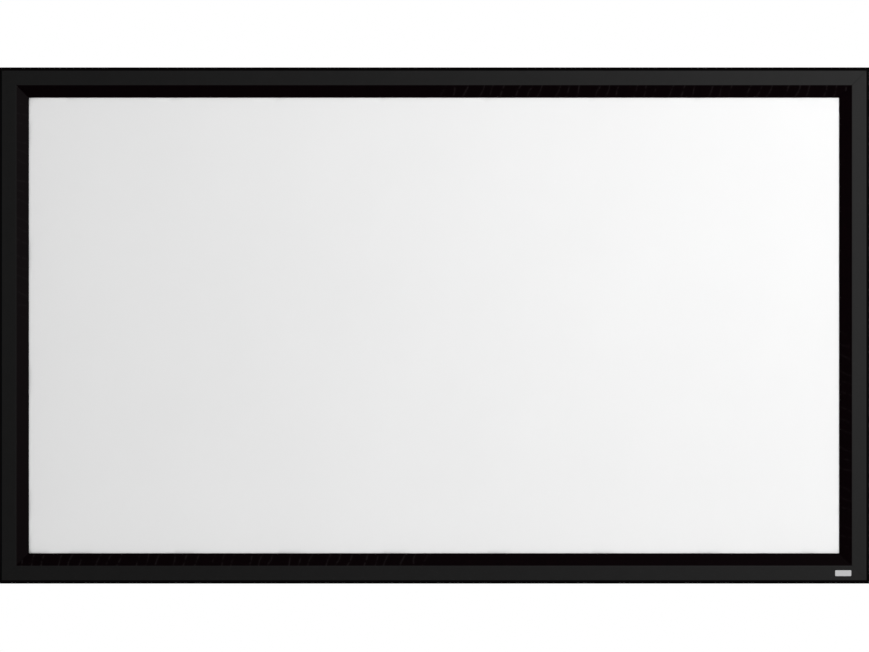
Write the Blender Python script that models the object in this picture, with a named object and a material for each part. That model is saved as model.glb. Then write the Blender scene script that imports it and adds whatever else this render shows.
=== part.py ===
"""Fixed-frame projector screen, 100 inches across the 16:9 picture.

The frame faces -Y, +X is to the viewer's right and +Z is up. The origin is on the wall plane, at the
centre of the screen, on the back of the centre support bar.

Sections are drawn in two distances: u runs inward from the frame's outer edge, and v runs back from
the frame's front face, so that v equals DEPTH at the wall.
"""

from math import acos, asin, atan2, cos, hypot, pi, radians, sin

import bmesh
import bpy
from mathutils import Matrix, Vector

# Picture and border
PICTURE_WIDTH = 2.214
PICTURE_HEIGHT = 1.245
DEPTH = 0.038
CHAMFER_WIDTH = 0.009
CHAMFER_DEPTH = 0.012
FACE_WIDTH = 0.040
BEVEL_WIDTH = 0.0335
LIP_DEPTH = 0.0196

# Clearance between pieces that touch
GAP = 0.0003

# Velvet covering
VELVET = 0.0008
VELVET_TUCK = 0.010
VELVET_STOP = 0.0015

# Rail extrusion
RAIL_WALL = 0.002
CHANNEL_WIDTH = 0.031
CHANNEL_HEIGHT = 0.006
LIP_REACH = 0.006
WALL_SPACE = 0.004
RIB_THICKNESS = 0.0016
RIB_HEIGHT = 0.0034
RIB_GROOVE = 0.0034

# Sheet, its edge pockets and the rods in them
SHEET = 0.0006
ROD_RADIUS = 0.0025
ROD_FROM_LIP = 0.0145
ROD_END_SPACE = 0.022
POCKET_ROOM = 0.0005
POCKET_FLAP = 0.009
POCKET_WELD = 0.004
POCKET_INSET = 0.006
NOTCH_WIDTH = 0.014
NOTCH_ROOM = 0.0012

# Springs
SPRINGS_ALONG_WIDTH = 8
SPRINGS_ALONG_HEIGHT = 4
SPRING_END_SPACE = 0.100
WIRE_RADIUS = 0.0005
COIL_RADIUS = 0.003
COIL_SHOULDER = 0.0014
COIL_RIDGES = 3
RIDGE_DEPTH = 0.0004
HOOK_TAIL = 0.001

# Corner brackets and their grub screws
CORNER_LEG = 0.120
CORNER_CHAMFER = 0.004
SCREW_FROM_CORNER = 0.085
SCREW_RADIUS = 0.003
SCREW_LENGTH = 0.0075
SCREW_CHAMFER = 0.0005
SOCKET_HALF_WIDTH = 0.0015
SOCKET_DEPTH = 0.003
THREAD_ROOM = 0.0003

# Wall brackets
PLATE = 0.003
PLATE_DROP = 0.050
PLATE_STEP = 0.016
HANGER_LENGTH = 0.110
HANGER_OFFSET = 0.600
CATCH_LENGTH = 0.064
CATCH_PLAY = 0.0025
WALL_HOLE_RADIUS = 0.0028
WALL_HOLE_DROP = 0.030
WALL_HOLE_MARGIN = 0.016

# Support bar and its end clips
BAR_WIDTH = 0.030
BAR_THICKNESS = 0.010
BAR_WALL = 0.0012
CLIP_PLUG = 0.026
CLIP_STRAP = 0.0022
CLIP_LEG = 0.0036

# Plate at the lower right corner
BADGE_WIDTH = 0.044
BADGE_HEIGHT = 0.016
BADGE_THICKNESS = 0.001
BADGE_RADIUS = 0.002
BADGE_FROM_SIDE = 0.073

# Sides of round shapes
ROUND_SIDES = 12
ROD_SIDES = 10
COIL_SIDES = 6
BEND_STEPS = 6

# Worked out from the sizes above
BORDER = CHAMFER_WIDTH + FACE_WIDTH + BEVEL_WIDTH
FRAME_WIDTH = PICTURE_WIDTH + 2 * BORDER
FRAME_HEIGHT = PICTURE_HEIGHT + 2 * BORDER
METAL_DEPTH = VELVET + GAP
NOSE_RADIUS = METAL_DEPTH + RAIL_WALL / 2
NOSE = (BORDER - NOSE_RADIUS, LIP_DEPTH - NOSE_RADIUS)
FACE_END = (CHAMFER_WIDTH + FACE_WIDTH, 0.0)
BEVEL_ANGLE = (
    atan2(NOSE[1], NOSE[0] - FACE_END[0])
    - asin(NOSE_RADIUS / hypot(NOSE[0] - FACE_END[0], NOSE[1]))
)
CHANNEL_OUT = METAL_DEPTH + RAIL_WALL
CHANNEL_IN = CHANNEL_OUT + CHANNEL_WIDTH
WEB_IN = CHANNEL_IN + RAIL_WALL
LIP_BACK = DEPTH - WALL_SPACE
LIP_FRONT = LIP_BACK - RAIL_WALL
CHANNEL_FLOOR = LIP_FRONT - CHANNEL_HEIGHT
SHEET_FRONT = LIP_DEPTH + GAP
SHEET_BACK = SHEET_FRONT + SHEET
POCKET_RADIUS = ROD_RADIUS + POCKET_ROOM
ROD = (BORDER - ROD_FROM_LIP, SHEET_BACK + POCKET_RADIUS)
RIB = (WEB_IN + RIB_GROOVE + RIB_THICKNESS / 2, ROD[1])
RIB_TOP = RIB[1] + RIB_THICKNESS / 2
NOTCH_END = ROD[0] + ROD_RADIUS + GAP + 2 * WIRE_RADIUS + NOTCH_ROOM
MITRE_SET_BACK = GAP * sin(radians(45))
SLOT_CENTRE = (CHANNEL_OUT + CHANNEL_IN) / 2

# The four sides in clockwise order, with the turn about Y from the top side
SIDES = (("top", 0), ("right", 90), ("bottom", 180), ("left", 270))
CORNERS = (("top_right", 0), ("bottom_right", 90), ("bottom_left", 180), ("top_left", 270))


def clear_scene():
    """Removes whatever the scene holds at the start."""
    for thing in list(bpy.data.objects):
        bpy.data.objects.remove(thing, do_unlink=True)


def material(name, colour, roughness, metallic=0.0):
    """A plain surface with one colour, roughness and metallic value."""
    made = bpy.data.materials.new(name)
    made.use_nodes = True
    surface = made.node_tree.nodes["Principled BSDF"]
    surface.inputs["Base Color"].default_value = (*colour, 1.0)
    surface.inputs["Roughness"].default_value = roughness
    surface.inputs["Metallic"].default_value = metallic
    return made


def add_object(name, mesh, parent=None, location=(0, 0, 0)):
    """Links a named object that shows the mesh."""
    thing = bpy.data.objects.new(name, mesh)
    bpy.context.scene.collection.objects.link(thing)
    thing.parent = parent
    thing.location = location
    return thing


def add_empty(name, turn, location=(0, 0, 0)):
    """A carrier turned about Y, which holds the pieces of one side or corner."""
    empty = add_object(name, None)
    empty.location = location
    empty.rotation_euler = (0, radians(turn), 0)
    return empty


def finish_mesh(name, bm, surface, smooth_angle=None):
    """Turns a bmesh into a mesh with its faces pointing out."""
    bmesh.ops.recalc_face_normals(bm, faces=bm.faces)
    mesh = bpy.data.meshes.new(name)
    bm.to_mesh(mesh)
    bm.free()
    mesh.materials.append(surface)
    if smooth_angle:
        mesh.shade_smooth()
        mesh.set_sharp_from_angle(angle=radians(smooth_angle))
    return mesh


def local(s, u, v):
    """A point of a side piece: s along the side, u in from the outer edge, v back from the front."""
    return Vector((s, v - DEPTH, -u))


def side_half_lengths(side):
    """Half the length of a side, and half the frame's size across it."""
    if side in ("top", "bottom"):
        return FRAME_WIDTH / 2, FRAME_HEIGHT / 2
    return FRAME_HEIGHT / 2, FRAME_WIDTH / 2


def pairs(count):
    """Each index with the next one round a loop."""
    return [(i, (i + 1) % count) for i in range(count)]


def add_plate(bm, near, far, holes=(), folds=None):
    """Adds a closed body between two matching outlines.

    Each hole is a pair of matching loops. folds gives, for the number of an outline edge, the rings
    of four points that the body goes on through past that edge: near, near, far, far.
    """
    folds = folds or {}
    loops = []
    for outline_pair in [(near, far), *holes]:
        loops.append([[bm.verts.new(point) for point in outline] for outline in outline_pair])
    for end in (0, 1):
        edges = []
        for loop in loops:
            edges += [bm.edges.new((loop[end][i], loop[end][j])) for i, j in pairs(len(loop[end]))]
        bmesh.ops.triangle_fill(bm, use_beauty=True, edges=edges)
    for number, (first, last) in enumerate(loops):
        for i, j in pairs(len(first)):
            ring = [first[i], first[j], last[j], last[i]]
            for points in folds.get(i, ()) if number == 0 else ():
                grown = [bm.verts.new(point) for point in points]
                for a, b in pairs(4):
                    bm.faces.new((ring[a], ring[b], grown[b], grown[a]))
                ring = grown
            bm.faces.new(ring)


def add_rings(bm, rings):
    """Adds a closed body through a row of matching rings, with a flat cap at each end."""
    made = [[bm.verts.new(point) for point in ring] for ring in rings]
    for first, last in zip(made, made[1:]):
        for i, j in pairs(len(first)):
            bm.faces.new((first[i], first[j], last[j], last[i]))
    bm.faces.new(made[0])
    bm.faces.new(made[-1])


def corner_offset(corner, angle_in, angle_out, depth):
    """Where the corner of a path lies once the path is moved sideways by depth."""
    side_in = Vector((-sin(angle_in), cos(angle_in)))
    side_out = Vector((-sin(angle_out), cos(angle_out)))
    moved = Vector(corner) + (side_in + side_out) * depth / (1 + side_in.dot(side_out))
    return tuple(moved)


def arc(centre, radius, start, sweep, steps):
    """Points along an arc of the section, both ends included."""
    angles = [start + sweep * i / steps for i in range(steps + 1)]
    return [(centre[0] + radius * cos(a), centre[1] + radius * sin(a)) for a in angles]


def skin_corners(depth):
    """The outer wall, chamfer and face of the border, moved in by depth."""
    chamfer_angle = atan2(-CHAMFER_DEPTH, CHAMFER_WIDTH)
    return [
        corner_offset((0, CHAMFER_DEPTH), radians(-90), chamfer_angle, depth),
        corner_offset((CHAMFER_WIDTH, 0), chamfer_angle, 0, depth),
        corner_offset(FACE_END, 0, BEVEL_ANGLE, depth),
    ]


def nose_arc(depth):
    """The rounded inner lip, moved in by depth."""
    return arc(NOSE, NOSE_RADIUS - depth, BEVEL_ANGLE - pi / 2, pi, BEND_STEPS)


def velvet_path(depth):
    """One face of the velvet, from the wall end round to its tucked end."""
    lip = nose_arc(depth)
    tuck_end = (
        lip[-1][0] - VELVET_TUCK * cos(BEVEL_ANGLE),
        lip[-1][1] - VELVET_TUCK * sin(BEVEL_ANGLE),
    )
    return [(depth, DEPTH - VELVET_STOP), *skin_corners(depth), *lip, tuck_end]


def rail_section():
    """The extrusion's outline and the outline of its closed chamber."""
    outer = [(METAL_DEPTH, DEPTH), *skin_corners(METAL_DEPTH), *nose_arc(METAL_DEPTH)]
    inner_side, inner_chamfer, inner_bevel = skin_corners(CHANNEL_OUT)
    rib_in = RIB[0] + RIB_THICKNESS / 2
    rib_out = RIB[0] - RIB_THICKNESS / 2
    shelf_back = RIB_TOP - RIB_HEIGHT
    shelf_front = shelf_back - RIB_THICKNESS
    web_and_rib = [
        inner_bevel,
        (WEB_IN, inner_bevel[1]),
        (WEB_IN, shelf_front),
        (rib_in, shelf_front),
        (rib_in, RIB_TOP),
        (rib_out, RIB_TOP),
        (rib_out, shelf_back),
        (WEB_IN, shelf_back),
        (WEB_IN, LIP_BACK),
    ]
    channel = [
        (CHANNEL_IN - LIP_REACH, LIP_BACK),
        (CHANNEL_IN - LIP_REACH, LIP_FRONT),
        (CHANNEL_IN, LIP_FRONT),
        (CHANNEL_IN, CHANNEL_FLOOR),
        (CHANNEL_OUT, CHANNEL_FLOOR),
        (CHANNEL_OUT, LIP_FRONT),
        (CHANNEL_OUT + LIP_REACH, LIP_FRONT),
        (CHANNEL_OUT + LIP_REACH, LIP_BACK),
        (CHANNEL_OUT, LIP_BACK),
        (CHANNEL_OUT, DEPTH),
    ]
    chamber_back = CHANNEL_FLOOR - RAIL_WALL
    chamber = [
        (CHANNEL_OUT, chamber_back),
        (CHANNEL_IN, chamber_back),
        (CHANNEL_IN, inner_bevel[1]),
        inner_chamfer,
        inner_side,
    ]
    return outer + web_and_rib + channel, chamber


def mitred(outline, half_length, end):
    """An outline placed on the 45 degree cut at one end of a side, end being -1 or 1."""
    return [local(end * (half_length - u - MITRE_SET_BACK), u, v) for u, v in outline]


def rail_mesh(side, surface):
    """A mitred length of the extrusion."""
    half_length, _ = side_half_lengths(side)
    outline, chamber = rail_section()
    bm = bmesh.new()
    ends = [[mitred(loop, half_length, end) for end in (-1, 1)] for loop in (outline, chamber)]
    add_plate(bm, *ends[0], holes=[ends[1]])
    return finish_mesh(f"{side}_rail", bm, surface)


def velvet_mesh(side, surface):
    """The covering of one rail, mitred with it."""
    half_length, _ = side_half_lengths(side)
    outline = velvet_path(0) + velvet_path(VELVET)[::-1]
    bm = bmesh.new()
    add_plate(bm, *(mitred(outline, half_length, end) for end in (-1, 1)))
    return finish_mesh(f"{side}_velvet", bm, surface)


def rod_half_length(side):
    """Half the length of the rod in a side's pocket."""
    half_length, _ = side_half_lengths(side)
    return half_length - ROD[0] - ROD_END_SPACE


def spring_places(side):
    """Where the springs stand along a side."""
    count = SPRINGS_ALONG_WIDTH if side in ("top", "bottom") else SPRINGS_ALONG_HEIGHT
    reach = rod_half_length(side) - SPRING_END_SPACE
    return [reach * (2 * i / (count - 1) - 1) for i in range(count)]


def pocket_runs(side):
    """The lengths of pocket between the notches, as pairs of places along the side."""
    end = rod_half_length(side) - POCKET_INSET
    cuts = [place + half for place in spring_places(side) for half in (-NOTCH_WIDTH / 2, NOTCH_WIDTH / 2)]
    stops = [-end, *cuts, end]
    return list(zip(stops[::2], stops[1::2]))


def pocket_section():
    """The pocket from the rod's front round it and back to the sheet, as pairs of face points."""
    landing = (POCKET_FLAP, SHEET_BACK + GAP - ROD[1])
    rest_angle = atan2(landing[1], landing[0]) + acos(POCKET_RADIUS / hypot(*landing))
    sweep = rest_angle - 3 * pi / 2
    outside = arc(ROD, POCKET_RADIUS + SHEET, -pi / 2, sweep, BEND_STEPS)[1:]
    inside = arc(ROD, POCKET_RADIUS, -pi / 2, sweep, BEND_STEPS)[1:]
    for reach in (POCKET_FLAP, POCKET_FLAP + POCKET_WELD):
        outside.append((ROD[0] + reach, SHEET_BACK + GAP + SHEET))
        inside.append((ROD[0] + reach, SHEET_BACK + GAP))
    return list(zip(outside, inside))


def sheet_mesh(surface):
    """The viewing sheet, with a notched pocket along each edge."""
    near, far, folds = [], [], {}
    for side, turn in SIDES:
        half_length, half_across = side_half_lengths(side)
        to_frame = Matrix.Rotation(radians(turn), 3, "Y")
        edge = Vector((0, 0, half_across))

        def place(s, u, v):
            return to_frame @ (local(s, u, v) + edge)

        outline = [(NOTCH_END - half_length, NOTCH_END)]
        for start, end in pocket_runs(side):
            outline += [(start, NOTCH_END), (start, ROD[0]), (end, ROD[0]), (end, NOTCH_END)]
            rings = [
                [place(start, *outer), place(end, *outer), place(end, *inner), place(start, *inner)]
                for outer, inner in pocket_section()
            ]
            folds[len(near) + len(outline) - 3] = rings
        near += [place(s, u, SHEET_FRONT) for s, u in outline]
        far += [place(s, u, SHEET_BACK) for s, u in outline]
    bm = bmesh.new()
    add_plate(bm, near, far, folds=folds)
    return finish_mesh("screen_sheet", bm, surface)


def rod_mesh(side, surface):
    """A straight steel rod, along the side's own X."""
    half = rod_half_length(side)
    circle = arc(ROD, ROD_RADIUS, 0, 2 * pi, ROD_SIDES)[:-1]
    bm = bmesh.new()
    add_rings(bm, [[local(s, u, v) for u, v in circle] for s in (-half, half)])
    return finish_mesh(f"tension_rod_{side}", bm, surface, 40)


def spring_line():
    """The spring's middle line in the section with its radius at each point, rod hook first."""
    steps = 5
    rod_hook = (ROD_RADIUS + GAP + WIRE_RADIUS) / cos(radians(27))
    rib_hook = (RIB_THICKNESS / 2 * 2 ** 0.5 + GAP + WIRE_RADIUS) / cos(radians(22.5))
    line = [(point, WIRE_RADIUS) for point in arc(ROD, rod_hook, -pi / 2, 3 * pi / 2, steps)]
    coil_start = ROD[0] - rod_hook - COIL_SHOULDER
    coil_end = RIB[0] + rib_hook + COIL_SHOULDER
    line.append(((coil_start + COIL_SHOULDER / 2, ROD[1]), WIRE_RADIUS))
    turns = 2 * COIL_RIDGES
    for i in range(turns + 1):
        radius = COIL_RADIUS - (RIDGE_DEPTH if i % 2 else 0)
        line.append(((coil_start + (coil_end - coil_start) * i / turns, ROD[1]), radius))
    line.append(((coil_end - COIL_SHOULDER / 2, ROD[1]), WIRE_RADIUS))
    line += [(point, WIRE_RADIUS) for point in arc(RIB, rib_hook, 0, pi, 4)]
    tail = line[-1][0]
    line.append(((tail[0], tail[1] - HOOK_TAIL), WIRE_RADIUS))
    return line


def spring_mesh(surface):
    """A tension spring with an open hook at each end, its close turns drawn as ridges."""
    line = spring_line()
    rings = []
    for i, ((u, v), radius) in enumerate(line):
        before = Vector(line[max(i - 1, 0)][0])
        after = Vector(line[min(i + 1, len(line) - 1)][0])
        ahead = (after - before).normalized()
        ring = []
        for k in range(COIL_SIDES):
            turn = 2 * pi * (k + 0.5) / COIL_SIDES
            across = radius * cos(turn)
            ring.append(local(radius * sin(turn), u - ahead.y * across, v + ahead.x * across))
        rings.append(ring)
    bm = bmesh.new()
    add_rings(bm, rings)
    return finish_mesh("spring", bm, surface, 50)


def circle_pair(centre, radius, front, back):
    """Matching circles on the two faces of a plate, centred at s and u."""
    circle = arc(centre, radius, 0, 2 * pi, ROUND_SIDES)[:-1]
    return [[local(s, u, v) for s, u in circle] for v in (front, back)]


def corner_bracket_mesh(surface):
    """A flat steel angle that fills the channel round the top right corner."""
    outer, inner = CHANNEL_OUT + GAP, CHANNEL_IN - GAP
    legs = [
        (outer, outer),
        (CORNER_LEG - CORNER_CHAMFER, outer),
        (CORNER_LEG, outer + CORNER_CHAMFER),
        (CORNER_LEG, inner - CORNER_CHAMFER),
        (CORNER_LEG - CORNER_CHAMFER, inner),
        (inner, inner),
        (inner, CORNER_LEG - CORNER_CHAMFER),
        (inner - CORNER_CHAMFER, CORNER_LEG),
        (outer + CORNER_CHAMFER, CORNER_LEG),
        (outer, CORNER_LEG - CORNER_CHAMFER),
    ]
    front, back = CHANNEL_FLOOR + GAP, LIP_FRONT - GAP
    holes = [
        circle_pair(centre, SCREW_RADIUS + THREAD_ROOM, front, back)
        for centre in ((-SCREW_FROM_CORNER, SLOT_CENTRE), (-SLOT_CENTRE, SCREW_FROM_CORNER))
    ]
    bm = bmesh.new()
    add_plate(bm, *([local(-a, u, v) for a, u in legs] for v in (front, back)), holes=holes)
    return finish_mesh("corner_bracket", bm, surface)


def corner_screw_mesh(surface):
    """A socket grub screw, its tip on the channel's floor."""
    tip = CHANNEL_FLOOR + GAP
    head = tip + SCREW_LENGTH

    def ring(radius, v):
        return [local(s, u, v) for s, u in arc((0, 0), radius, 0, 2 * pi, ROUND_SIDES)[:-1]]

    def socket(v):
        points = []
        for k in range(ROUND_SIDES):
            turn = 2 * pi * k / ROUND_SIDES
            flat = (turn + pi / 6) % (pi / 3) - pi / 6
            points.append((SOCKET_HALF_WIDTH / cos(flat), turn))
        return [local(radius * cos(turn), radius * sin(turn), v) for radius, turn in points]

    rings = [
        ring(SCREW_RADIUS / 2, tip),
        ring(SCREW_RADIUS, tip + SCREW_RADIUS / 2),
        ring(SCREW_RADIUS, head - SCREW_CHAMFER),
        ring(SCREW_RADIUS - SCREW_CHAMFER, head),
        socket(head),
        socket(head - SOCKET_DEPTH),
    ]
    bm = bmesh.new()
    add_rings(bm, rings)
    return finish_mesh("corner_screw", bm, surface, 40)


def wall_bracket_mesh(name, length, play, surface):
    """A steel plate on the wall, stepped forward through the slot to a hook in the channel.

    play is the clearance between the hook's edge and the rail's outer wall.
    """
    half = length / 2
    hook_back = LIP_FRONT - GAP
    hook_front = hook_back - PLATE
    hook_end = CHANNEL_OUT + play
    start = PLATE_STEP + 2 * PLATE
    end = start + PLATE_DROP
    outline = [(-half, start), (half, start), (half, end), (-half, end)]
    section = [
        ((PLATE_STEP + PLATE, DEPTH - PLATE), (PLATE_STEP, DEPTH)),
        ((PLATE_STEP + PLATE, hook_front), (PLATE_STEP, hook_back)),
        ((hook_end, hook_front), (hook_end, hook_back)),
    ]
    fold = [
        [local(-half, *near), local(half, *near), local(half, *far), local(-half, *far)]
        for near, far in section
    ]
    front, back = DEPTH - PLATE, DEPTH
    holes = [
        circle_pair((s, start + WALL_HOLE_DROP), WALL_HOLE_RADIUS, front, back)
        for s in (WALL_HOLE_MARGIN - half, half - WALL_HOLE_MARGIN)
    ]
    bm = bmesh.new()
    faces = ([local(s, u, v) for s, u in outline] for v in (front, back))
    add_plate(bm, *faces, holes=holes, folds={0: fold})
    return finish_mesh(name, bm, surface)


def rectangle(half_width, front, back):
    """A rectangle across the bar, as places along X and v."""
    return [(-half_width, front), (half_width, front), (half_width, back), (-half_width, back)]


def support_bar_mesh(surface):
    """The centre stiffener, a rectangular tube from web to web."""
    half_length = FRAME_HEIGHT / 2 - WEB_IN - GAP
    front = DEPTH - BAR_THICKNESS
    outer = rectangle(BAR_WIDTH / 2, front, DEPTH)
    inner = rectangle(BAR_WIDTH / 2 - BAR_WALL, front + BAR_WALL, DEPTH - BAR_WALL)
    ends = [
        [[Vector((x, v - DEPTH, z)) for x, v in loop] for z in (-half_length, half_length)]
        for loop in (outer, inner)
    ]
    bm = bmesh.new()
    add_plate(bm, *ends[0], holes=[ends[1]])
    return finish_mesh("support_bar", bm, surface)


def bar_clip_mesh(surface):
    """A plug in the bar's end with a strap that hooks round the channel's inner lip."""
    plug_start = WEB_IN + GAP
    plug_front = DEPTH - BAR_THICKNESS + BAR_WALL + GAP
    plug_back = DEPTH - BAR_WALL - GAP
    lip_edge = CHANNEL_IN - LIP_REACH
    strap_front = max(plug_back - CLIP_STRAP, LIP_BACK + GAP)
    foot_front = LIP_FRONT - GAP - CLIP_LEG
    outline = [
        (plug_start + CLIP_PLUG, plug_front),
        (plug_start + CLIP_PLUG, plug_back),
        (lip_edge - GAP - CLIP_LEG, plug_back),
        (lip_edge - GAP - CLIP_LEG, foot_front),
        (CHANNEL_IN - GAP, foot_front),
        (CHANNEL_IN - GAP, LIP_FRONT - GAP),
        (lip_edge - GAP, LIP_FRONT - GAP),
        (lip_edge - GAP, strap_front),
        (plug_start, strap_front),
        (plug_start, plug_front),
    ]
    half = BAR_WIDTH / 2 - BAR_WALL - GAP
    bm = bmesh.new()
    add_plate(bm, *([local(s, u, v) for u, v in outline] for s in (-half, half)))
    return finish_mesh("bar_clip", bm, surface)


def badge_mesh(surface):
    """A plain plate with rounded corners, lying on the border's face."""
    half_width = BADGE_WIDTH / 2 - BADGE_RADIUS
    half_height = BADGE_HEIGHT / 2 - BADGE_RADIUS
    outline = []
    for quarter, (s, u) in enumerate(((1, 1), (-1, 1), (-1, -1), (1, -1))):
        centre = (s * half_width, u * half_height)
        outline += arc(centre, BADGE_RADIUS, quarter * pi / 2, pi / 2, 3)
    bm = bmesh.new()
    front = -GAP - BADGE_THICKNESS
    add_plate(bm, *([local(s, u, v) for s, u in outline] for v in (front, -GAP)))
    return finish_mesh("badge_plate", bm, surface)


def build_sides(finishes, carriers):
    """The rails, their velvet, the rods and the springs."""
    spring = spring_mesh(finishes["spring"])
    for side, _ in SIDES:
        _, half_across = side_half_lengths(side)
        carrier, edge = carriers[side], (0, 0, half_across)
        add_object(f"{side}_rail", rail_mesh(side, finishes["rail"]), carrier, edge)
        add_object(f"{side}_velvet", velvet_mesh(side, finishes["velvet"]), carrier, edge)
        add_object(f"tension_rod_{side}", rod_mesh(side, finishes["rod"]), carrier, edge)
        for number, s in enumerate(spring_places(side), start=1):
            add_object(f"spring_{side}_{number}", spring, carrier, (s, 0, half_across))


def build_corners(finishes):
    """The angles in the rail channels and the screws that lock them."""
    bracket = corner_bracket_mesh(finishes["bracket"])
    screw = corner_screw_mesh(finishes["screw"])
    for corner, turn in CORNERS:
        reach = Vector((FRAME_WIDTH / 2, 0, FRAME_HEIGHT / 2))
        if turn in (90, 180):
            reach.z = -reach.z
        if turn in (180, 270):
            reach.x = -reach.x
        carrier = add_empty(f"corner_{corner}", turn, reach)
        add_object(f"corner_bracket_{corner}", bracket, carrier)
        places = ((-SCREW_FROM_CORNER, -SLOT_CENTRE), (-SLOT_CENTRE, -SCREW_FROM_CORNER))
        for number, (x, z) in enumerate(places, start=1):
            add_object(f"corner_screw_{corner}_{number}", screw, carrier, (x, 0, z))


def build_wall_brackets(finishes, carriers):
    """Two hangers under the top rail and two catches in the bottom rail."""
    hanger = wall_bracket_mesh("hanger", HANGER_LENGTH, GAP, finishes["bracket"])
    catch = wall_bracket_mesh("catch", CATCH_LENGTH, CATCH_PLAY, finishes["bracket"])
    half_across = FRAME_HEIGHT / 2
    for name, mesh, side in (("hanger", hanger, "top"), ("catch", catch, "bottom")):
        for s in (-HANGER_OFFSET, HANGER_OFFSET):
            on_right = (s > 0) == (side == "top")
            place = "right" if on_right else "left"
            add_object(f"wall_{name}_{place}", mesh, carriers[side], (s, 0, half_across))


def build_support_bar(finishes, carriers):
    """The centre bar and the clip at each of its ends."""
    add_object("support_bar", support_bar_mesh(finishes["bar"]))
    clip = bar_clip_mesh(finishes["clip"])
    for side in ("top", "bottom"):
        add_object(f"bar_clip_{side}", clip, carriers[side], (0, 0, FRAME_HEIGHT / 2))


def build_badge(finishes):
    """The plain plate on the lower right of the border."""
    middle = CHAMFER_WIDTH + FACE_WIDTH / 2
    location = (FRAME_WIDTH / 2 - BADGE_FROM_SIDE, 0, middle - FRAME_HEIGHT / 2)
    add_object("badge_plate", badge_mesh(finishes["badge"]), location=location)


def main():
    clear_scene()
    finishes = {
        "velvet": material("velvet_black", (0.010, 0.010, 0.011), 0.95),
        "rail": material("rail_aluminium", (0.72, 0.73, 0.74), 0.38, 1.0),
        "sheet": material("sheet_white", (0.86, 0.86, 0.86), 0.85),
        "rod": material("rod_steel", (0.55, 0.56, 0.57), 0.32, 1.0),
        "spring": material("spring_steel", (0.48, 0.48, 0.49), 0.3, 1.0),
        "bracket": material("bracket_zinc", (0.60, 0.61, 0.62), 0.42, 1.0),
        "screw": material("screw_black", (0.03, 0.03, 0.032), 0.45, 1.0),
        "bar": material("bar_aluminium", (0.70, 0.71, 0.72), 0.4, 1.0),
        "clip": material("clip_plastic", (0.02, 0.02, 0.022), 0.5),
        "badge": material("badge_aluminium", (0.80, 0.80, 0.81), 0.35, 1.0),
    }
    carriers = {side: add_empty(f"side_{side}", turn) for side, turn in SIDES}
    build_sides(finishes, carriers)
    add_object("screen_sheet", sheet_mesh(finishes["sheet"]))
    build_corners(finishes)
    build_wall_brackets(finishes, carriers)
    build_support_bar(finishes, carriers)
    build_badge(finishes)


main()
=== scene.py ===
"""Looks of a fixed-frame projector screen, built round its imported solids.

A section is drawn in two distances, as in the solids: u runs inward from the frame's outer edge and v
runs back from its front face. s runs along a side. All sizes are in metres.
"""

import logging
from dataclasses import dataclass, field
from enum import Enum
from functools import cache

import bmesh
import bpy
import numpy as np
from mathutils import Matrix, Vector


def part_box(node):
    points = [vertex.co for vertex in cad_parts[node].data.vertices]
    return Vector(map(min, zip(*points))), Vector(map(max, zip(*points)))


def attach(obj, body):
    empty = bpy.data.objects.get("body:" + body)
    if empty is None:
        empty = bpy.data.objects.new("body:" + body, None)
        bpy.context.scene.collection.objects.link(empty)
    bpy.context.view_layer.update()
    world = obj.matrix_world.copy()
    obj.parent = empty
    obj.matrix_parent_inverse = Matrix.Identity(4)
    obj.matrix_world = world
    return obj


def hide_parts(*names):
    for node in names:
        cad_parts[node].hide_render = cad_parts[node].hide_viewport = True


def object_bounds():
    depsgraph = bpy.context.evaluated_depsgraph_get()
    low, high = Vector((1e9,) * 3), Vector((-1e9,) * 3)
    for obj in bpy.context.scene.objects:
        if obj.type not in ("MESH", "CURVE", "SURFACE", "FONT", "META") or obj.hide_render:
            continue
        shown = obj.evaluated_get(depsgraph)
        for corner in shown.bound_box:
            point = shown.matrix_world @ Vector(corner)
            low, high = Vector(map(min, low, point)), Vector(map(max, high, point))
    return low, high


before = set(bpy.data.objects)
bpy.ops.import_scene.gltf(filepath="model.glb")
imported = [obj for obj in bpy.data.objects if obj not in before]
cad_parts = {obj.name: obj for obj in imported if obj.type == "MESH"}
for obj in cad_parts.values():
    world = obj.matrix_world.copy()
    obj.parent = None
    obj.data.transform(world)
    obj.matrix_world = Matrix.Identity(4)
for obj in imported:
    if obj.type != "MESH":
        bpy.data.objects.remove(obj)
CAD_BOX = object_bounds()

Array = np.ndarray
Colour = tuple[float, float, float]
Pair = tuple[float, float]
Place = tuple[float, float, float]
Material = bpy.types.Material
Mesh = bpy.types.Mesh
Node = bpy.types.Node
Piece = bpy.types.Object
Socket = bpy.types.NodeSocket
Sockets = bpy.types.NodeOutputs
Tree = bpy.types.NodeTree

LOG = logging.getLogger("screen")
BODY = "root"
TO_FRONT = Vector((0.0, -1.0, 0.0))
TO_WALL = Vector((0.0, 1.0, 0.0))
UP = Vector((0.0, 0.0, 1.0))


class Side(Enum):
    """A side of the frame, by its turn about Y from the top side, in degrees."""

    TOP = 0
    RIGHT = 90
    BOTTOM = 180
    LEFT = 270

    @property
    def label(self) -> str:
        """The side's name as the nodes write it."""
        return self.name.lower()

    @property
    def is_level(self) -> bool:
        """Whether the side runs along X."""
        return self in (Side.TOP, Side.BOTTOM)

    @property
    def run(self) -> str:
        """The way that the side runs, as the finishes' names write it."""
        return "level" if self.is_level else "upright"

    @property
    def corner(self) -> str:
        """The corner at this side's far end, going clockwise."""
        return {0: "top_right", 90: "bottom_right", 180: "bottom_left", 270: "top_left"}[self.value]


class WallPlate(Enum):
    """What a plate on the wall does: a hanger carries the frame, and a catch holds it in."""

    HANGER = "hanger"
    CATCH = "catch"


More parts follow.
